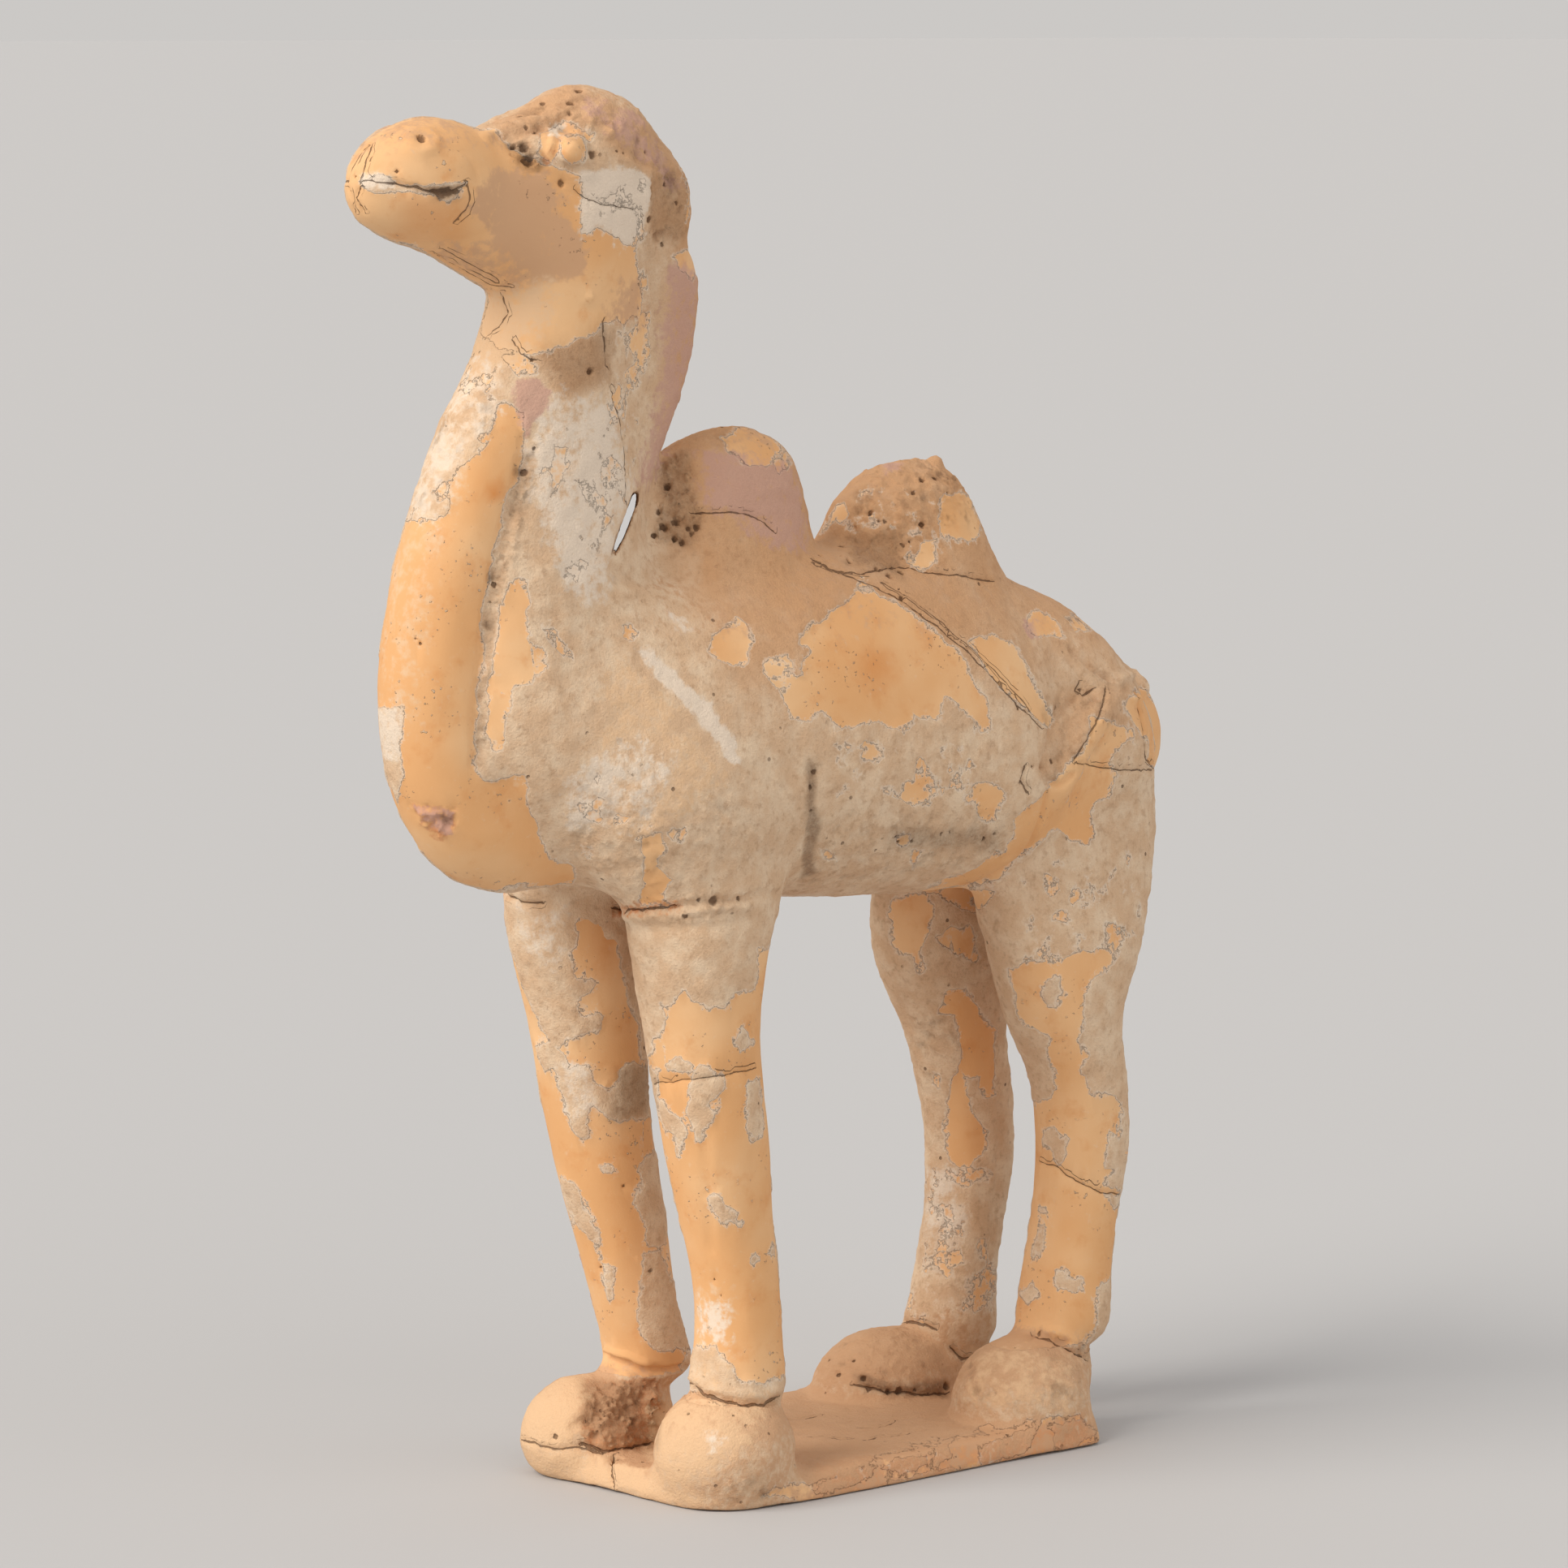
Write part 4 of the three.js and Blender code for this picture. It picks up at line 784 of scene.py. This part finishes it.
def films(surface):
    """Strength of each thin film of colour, from 0 to 1."""
    layers = {kind: np.zeros(len(surface.points)) for kind in FILM_KINDS}
    wander = surface.pixels + np.stack(
        [noise(surface.points, 6.0, 600, 3) * 6, noise(surface.points, 6.0, 640, 3) * 6], axis=1)
    for kind, strength, softness, outline in FILMS:
        inside = step(inside_by(wander, outline), -softness / 2, softness / 2)
        layers[kind] = np.maximum(layers[kind], strength * inside * surface.seen)
    x, y, z = surface.points.T
    back = step(z, 192, 226) * step(y, -64, -48)
    layers["warm"] = np.maximum(layers["warm"], back * (1 - 0.3 * noise(surface.points, 20.0, 660, 3)))
    for kind, seed in (("slip", 670), ("pink", 680), ("stain", 690)):
        patch = 0.7 * step(noise(surface.points, 30.0, seed, 4), 0.35, 0.8)
        layers[kind] = np.maximum(layers[kind], patch * (1 - surface.seen))
    return layers


def settled_dust(surface):
    """Dust on the feet, on the slab and wherever the clay faces up."""
    z = surface.points[:, 2]
    low = 1 - step(z, 22, 34)
    up = step(surface.normals[:, 2], 0.2, 0.9)
    return np.clip(low * (0.45 + 0.55 * up) + 0.35 * up, 0, 1)


def sculpt(piece):
    """Carves the relief into the fine clay and lays the mud on it, and stores what the finish needs as attributes
    on the mesh.
    """
    surface = Surface(piece.data)
    offsets, layers = relief(surface)
    sunk, dirt_and_shade = broken_ground(surface)
    offsets -= sunk
    mud = mud_depth(surface)
    layers.update(films(surface))
    layers["dirt_and_shade"] = np.maximum(layers["dirt_and_shade"], dirt_and_shade)
    layers["dust"] = np.maximum(layers["dust"], settled_dust(surface))
    cover = step(mud, -0.15, 0.45)
    grain = noise(surface.points, 3.2, 700, 4)
    swell = noise(surface.points, 11.0, 720, 3)
    uneven = noise(surface.points, 16.0, 740, 3)
    offsets += cover * (0.22 + 0.30 * grain + 0.22 * swell) + 0.16 * uneven
    flat = step(surface.points[:, 2], 0.2, 2.5)
    offsets *= flat
    moved(piece, surface, offsets)
    layers["mud"] = np.clip(mud, -4, 4)
    for name, values in layers.items():
        attribute = piece.data.attributes.new(name, "FLOAT", "POINT")
        attribute.data.foreach_set("value", values.astype(np.float32))


def thinned(piece):
    """Fewer triangles where the clay is smooth."""
    count = sum(len(p.vertices) - 2 for p in piece.data.polygons)
    if count > TRIANGLES:
        fewer = piece.modifiers.new("fewer", "DECIMATE")
        fewer.ratio = TRIANGLES / count
        applied(piece)
    piece.data.polygons.foreach_set("use_smooth", np.ones(len(piece.data.polygons), bool))


# Finish

def linear(*channels):
    """A colour given as it looks on a screen, from 0 to 255, as the shader needs it."""
    return tuple((c / 255 / 12.92) if c < 11 else ((c / 255 + 0.055) / 1.055) ** 2.4 for c in channels) + (1,)


CLAY = linear(226, 172, 118)
CLAY_DEEP = linear(216, 150, 92)
CLAY_PALE = linear(234, 190, 142)
STAIN = linear(214, 140, 76)
RAW = linear(212, 146, 100)
MUD = linear(214, 180, 146)
MUD_DARK = linear(176, 140, 108)
MUD_PALE = linear(228, 202, 172)
WARM = linear(206, 160, 119)
WARM_DARK = linear(176, 130, 92)
SLIP = linear(232, 214, 194)
CREAM = linear(226, 189, 150)
PINK = linear(202, 160, 142)
# Dark earth colour for dirt, and for painted shade in cracks, pits, pinholes and hollows
DIRT_AND_SHADE = linear(92, 64, 44)
DUST = linear(206, 163, 126)
FLOOR = (0.525, 0.528, 0.539, 1)


class Nodes:
    """Small helpers for a material's node tree."""

    def __init__(self, name):
        self.material = bpy.data.materials.new(name)
        self.material.use_nodes = True
        self.tree = self.material.node_tree
        self.tree.nodes.clear()
        self.output = self.add("ShaderNodeOutputMaterial")
        self.shader = self.add("ShaderNodeBsdfPrincipled")
        self.link(self.shader.outputs["BSDF"], self.output.inputs["Surface"])
        self.place = self.add("ShaderNodeTexCoord").outputs["Object"]

    def add(self, kind, **settings):
        node = self.tree.nodes.new(kind)
        for name, value in settings.items():
            setattr(node, name, value)
        return node

    def link(self, source, target):
        self.tree.links.new(source, target)

    def put(self, value, socket):
        if isinstance(value, bpy.types.NodeSocket):
            self.link(value, socket)
        else:
            socket.default_value = value

    def math(self, operation, a, b=0.0, c=0.0, clamp=False):
        node = self.add("ShaderNodeMath", operation=operation, use_clamp=clamp)
        for value, socket in zip((a, b, c), node.inputs):
            self.put(value, socket)
        return node.outputs[0]

    def attribute(self, name):
        return self.add("ShaderNodeAttribute", attribute_name=name).outputs["Fac"]

    def noise(self, size, detail=3.0, roughness=0.55):
        """Noise whose lumps are size millimetres across, from 0 to 1."""
        node = self.add("ShaderNodeTexNoise")
        self.link(self.place, node.inputs["Vector"])
        node.inputs["Scale"].default_value = 1 / (size * MM)
        node.inputs["Detail"].default_value = detail
        node.inputs["Roughness"].default_value = roughness
        return node.outputs["Fac"]

    def ramp(self, value, low, high):
        """From 0 to 1 as value goes from low to high."""
        node = self.add("ShaderNodeMapRange", interpolation_type="SMOOTHSTEP")
        self.put(value, node.inputs["Value"])
        node.inputs["From Min"].default_value = low
        node.inputs["From Max"].default_value = high
        return node.outputs["Result"]

    def mix(self, share, a, b):
        node = self.add("ShaderNodeMix", data_type="RGBA")
        self.put(share, node.inputs["Factor"])
        self.put(a, node.inputs[6])
        self.put(b, node.inputs[7])
        return node.outputs[2]


def clay_finish():
    """Matte orange clay under ragged mud, slip, pigment, dust and dirt, with painted shade in its cracks, pits and
    hollows.
    """
    n = Nodes("fired_clay_with_mud")
    fine = n.noise(0.7, 4.0, 0.65)
    small = n.noise(2.2, 4.0, 0.6)
    middle = n.noise(7.0, 4.0, 0.6)
    large = n.noise(30.0, 3.0, 0.5)

    ragged = n.math("ADD", n.attribute("mud"), n.math("MULTIPLY_ADD", small, 2.6, -1.3))
    ragged = n.math("ADD", ragged, n.math("MULTIPLY_ADD", fine, 1.2, -0.6))
    specks = n.math("MULTIPLY", n.ramp(n.noise(1.3, 2.0), 0.66, 0.72), n.ramp(n.noise(14.0, 2.0), 0.5, 0.6))
    mud = n.math("MAXIMUM", n.ramp(ragged, -0.12, 0.12), specks)
    rim = n.math("MULTIPLY", n.ramp(ragged, -0.5, -0.02), n.math("SUBTRACT", 1.0, n.ramp(ragged, 0.1, 0.7)))

    clay = n.mix(n.ramp(large, 0.35, 0.7), CLAY, CLAY_PALE)
    clay = n.mix(n.math("MULTIPLY", n.ramp(middle, 0.5, 0.78), 0.6), clay, CLAY_DEEP)
    clay = n.mix(n.math("MULTIPLY", n.ramp(fine, 0.6, 0.85), 0.25), clay, CLAY_DEEP)
    clay = n.mix(n.math("MULTIPLY", n.ramp(small, 0.6, 0.8), 0.35), clay, MUD_PALE)
    clay = n.mix(n.attribute("stain"), clay, STAIN)

    earth = n.mix(n.ramp(middle, 0.35, 0.7), MUD, MUD_PALE)
    earth = n.mix(n.math("MULTIPLY", n.ramp(small, 0.5, 0.75), 0.55), earth, MUD_DARK)
    tan = n.mix(n.math("MULTIPLY", n.ramp(small, 0.45, 0.75), 0.5), WARM, WARM_DARK)
    tan = n.mix(n.math("MULTIPLY", n.ramp(middle, 0.5, 0.75), 0.5), tan, MUD)
    earth = n.mix(n.attribute("warm"), earth, tan)
    earth = n.mix(n.math("MULTIPLY", n.ramp(fine, 0.52, 0.8), 0.4), earth, MUD_DARK)

    base = n.mix(mud, clay, earth)
    base = n.mix(n.math("MULTIPLY", rim, 0.6), base, SLIP)
    covers = (("raw", RAW, 0.9), ("dust", DUST, 0.9), ("cream", CREAM, 0.9), ("slip", SLIP, 0.95),
              ("pink", PINK, 0.85))
    mottling = n.math("ADD", n.math("MULTIPLY_ADD", small, 1.6, -0.8), n.math("MULTIPLY_ADD", middle, 1.2, -0.6))
    for layer, colour, cover in covers:
        mottle = n.ramp(n.math("ADD", n.attribute(layer), mottling), 0.15, 0.7)
        present = n.ramp(n.attribute(layer), 0.02, 0.2)
        base = n.mix(n.math("MULTIPLY", n.math("MULTIPLY", mottle, present), cover), base, colour)
    # Darkening that is partly dirt and partly painted shade in hollows, creases and the mouth corner
    dirt_and_shade_amount = n.math("MULTIPLY", n.attribute("dirt_and_shade"), n.math("MULTIPLY_ADD", fine, 1.2, 0.4), clamp=True)
    base = n.mix(dirt_and_shade_amount, base, DIRT_AND_SHADE)

    # Painted shade: a dark line along each hairline crack, dark in the middle of each pit, and dark pinhole dots
    # in the mud, all mixed toward the dark earth colour
    split = n.math("ABSOLUTE", n.math("ADD", n.attribute("crack_side"), n.math("MULTIPLY_ADD", small, 0.5, -0.25)))
    crack_shade = n.math("SUBTRACT", 1.0, n.ramp(split, 0.12, 0.34))
    crack_shade = n.math("MULTIPLY", crack_shade, n.ramp(n.attribute("crack_shade"), 0.25, 0.5))
    pit_shade = n.ramp(n.math("ADD", n.attribute("pit"), n.math("MULTIPLY_ADD", small, 0.8, -0.4)), 0.1, 0.55)
    cells = n.add("ShaderNodeTexVoronoi")
    n.link(n.place, cells.inputs["Vector"])
    cells.inputs["Scale"].default_value = 1 / (4.5 * MM)
    pinhole_shade = n.math("SUBTRACT", 1.0, n.ramp(cells.outputs["Distance"], 0.07, 0.13))
    pinhole_shade = n.math("MULTIPLY", n.math("MULTIPLY", pinhole_shade, mud), n.ramp(n.noise(9.0), 0.55, 0.65))
    painted_shade = n.math("MAXIMUM", n.math("MAXIMUM", crack_shade, pit_shade), pinhole_shade)
    base = n.mix(n.math("MULTIPLY", painted_shade, 0.7), base, DIRT_AND_SHADE)
    n.link(base, n.shader.inputs["Base Color"])

    rough = n.math("MULTIPLY_ADD", mud, 0.16, 0.72)
    n.link(n.math("MULTIPLY_ADD", fine, 0.1, rough), n.shader.inputs["Roughness"])
    n.shader.inputs["Specular IOR Level"].default_value = 0.25

    height = n.math("MULTIPLY_ADD", fine, 1.1, n.math("MULTIPLY_ADD", small, 1.1, 0.6))
    height = n.math("MULTIPLY", mud, height)
    height = n.math("ADD", height, n.math("MULTIPLY", fine, 0.15))
    height = n.math("SUBTRACT", height, n.math("MULTIPLY", painted_shade, 2.0))
    bump = n.add("ShaderNodeBump")
    bump.inputs["Strength"].default_value = 0.9
    bump.inputs["Distance"].default_value = 0.3 * MM
    n.link(height, bump.inputs["Height"])
    n.link(bump.outputs["Normal"], n.shader.inputs["Normal"])
    return n.material


# Stage

def floor():
    mesh = bpy.data.meshes.new("floor")
    half = 80.0
    mesh.from_pydata([(-half, -half, 0), (half, -half, 0), (half, half, 0), (-half, half, 0)], [], [(0, 1, 2, 3)])
    plane = bpy.data.objects.new("floor", mesh)
    plane.location.z = -0.0001
    bpy.context.scene.collection.objects.link(plane)
    n = Nodes("pale_floor")
    n.shader.inputs["Base Color"].default_value = FLOOR
    n.shader.inputs["Roughness"].default_value = 0.9
    mesh.materials.append(n.material)


def sun(name, towards, strength, angle, colour):
    """Even light that comes from a direction, as soft as its angle in degrees."""
    light = bpy.data.lights.new(name, "SUN")
    light.energy = strength
    light.angle = math.radians(angle)
    light.color = colour
    lamp = bpy.data.objects.new(name, light)
    lamp.rotation_euler = Vector(towards).to_track_quat("Z", "Y").to_euler()
    bpy.context.scene.collection.objects.link(lamp)


def studio():
    """Soft warm light from the front and the camera's left, in a pale surround."""
    sun("key", (-0.1, -0.92, 0.68), 2.5, 40, (1.0, 0.94, 0.86))
    sun("fill", (0.9, 0.1, 0.5), 0.45, 60, (1.0, 0.96, 0.92))
    world = bpy.data.worlds.new("surround")
    world.use_nodes = True
    world.node_tree.nodes["Background"].inputs["Color"].default_value = (1.0, 0.97, 0.94, 1)
    world.node_tree.nodes["Background"].inputs["Strength"].default_value = 0.6
    bpy.context.scene.world = world
    bpy.context.scene.view_settings.view_transform = "Standard"


def camera():
    """The photograph's viewpoint."""
    lens = bpy.data.cameras.new("camera")
    lens.sensor_width = 36.0
    lens.lens = FOCAL / PICTURE * lens.sensor_width
    lens.clip_end = 500.0
    viewer = bpy.data.objects.new("camera", lens)
    viewer.location = EYE * MM
    viewer.rotation_euler = Vector(FORWARD).to_track_quat("-Z", "Y").to_euler()
    bpy.context.scene.collection.objects.link(viewer)
    bpy.context.scene.camera = viewer


camel = fine_clay(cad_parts["camel_on_slab"])
sculpt(camel)
thinned(camel)
camel.data.materials.append(clay_finish())
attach(camel, "root")
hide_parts("camel_on_slab")
floor()
studio()
camera()
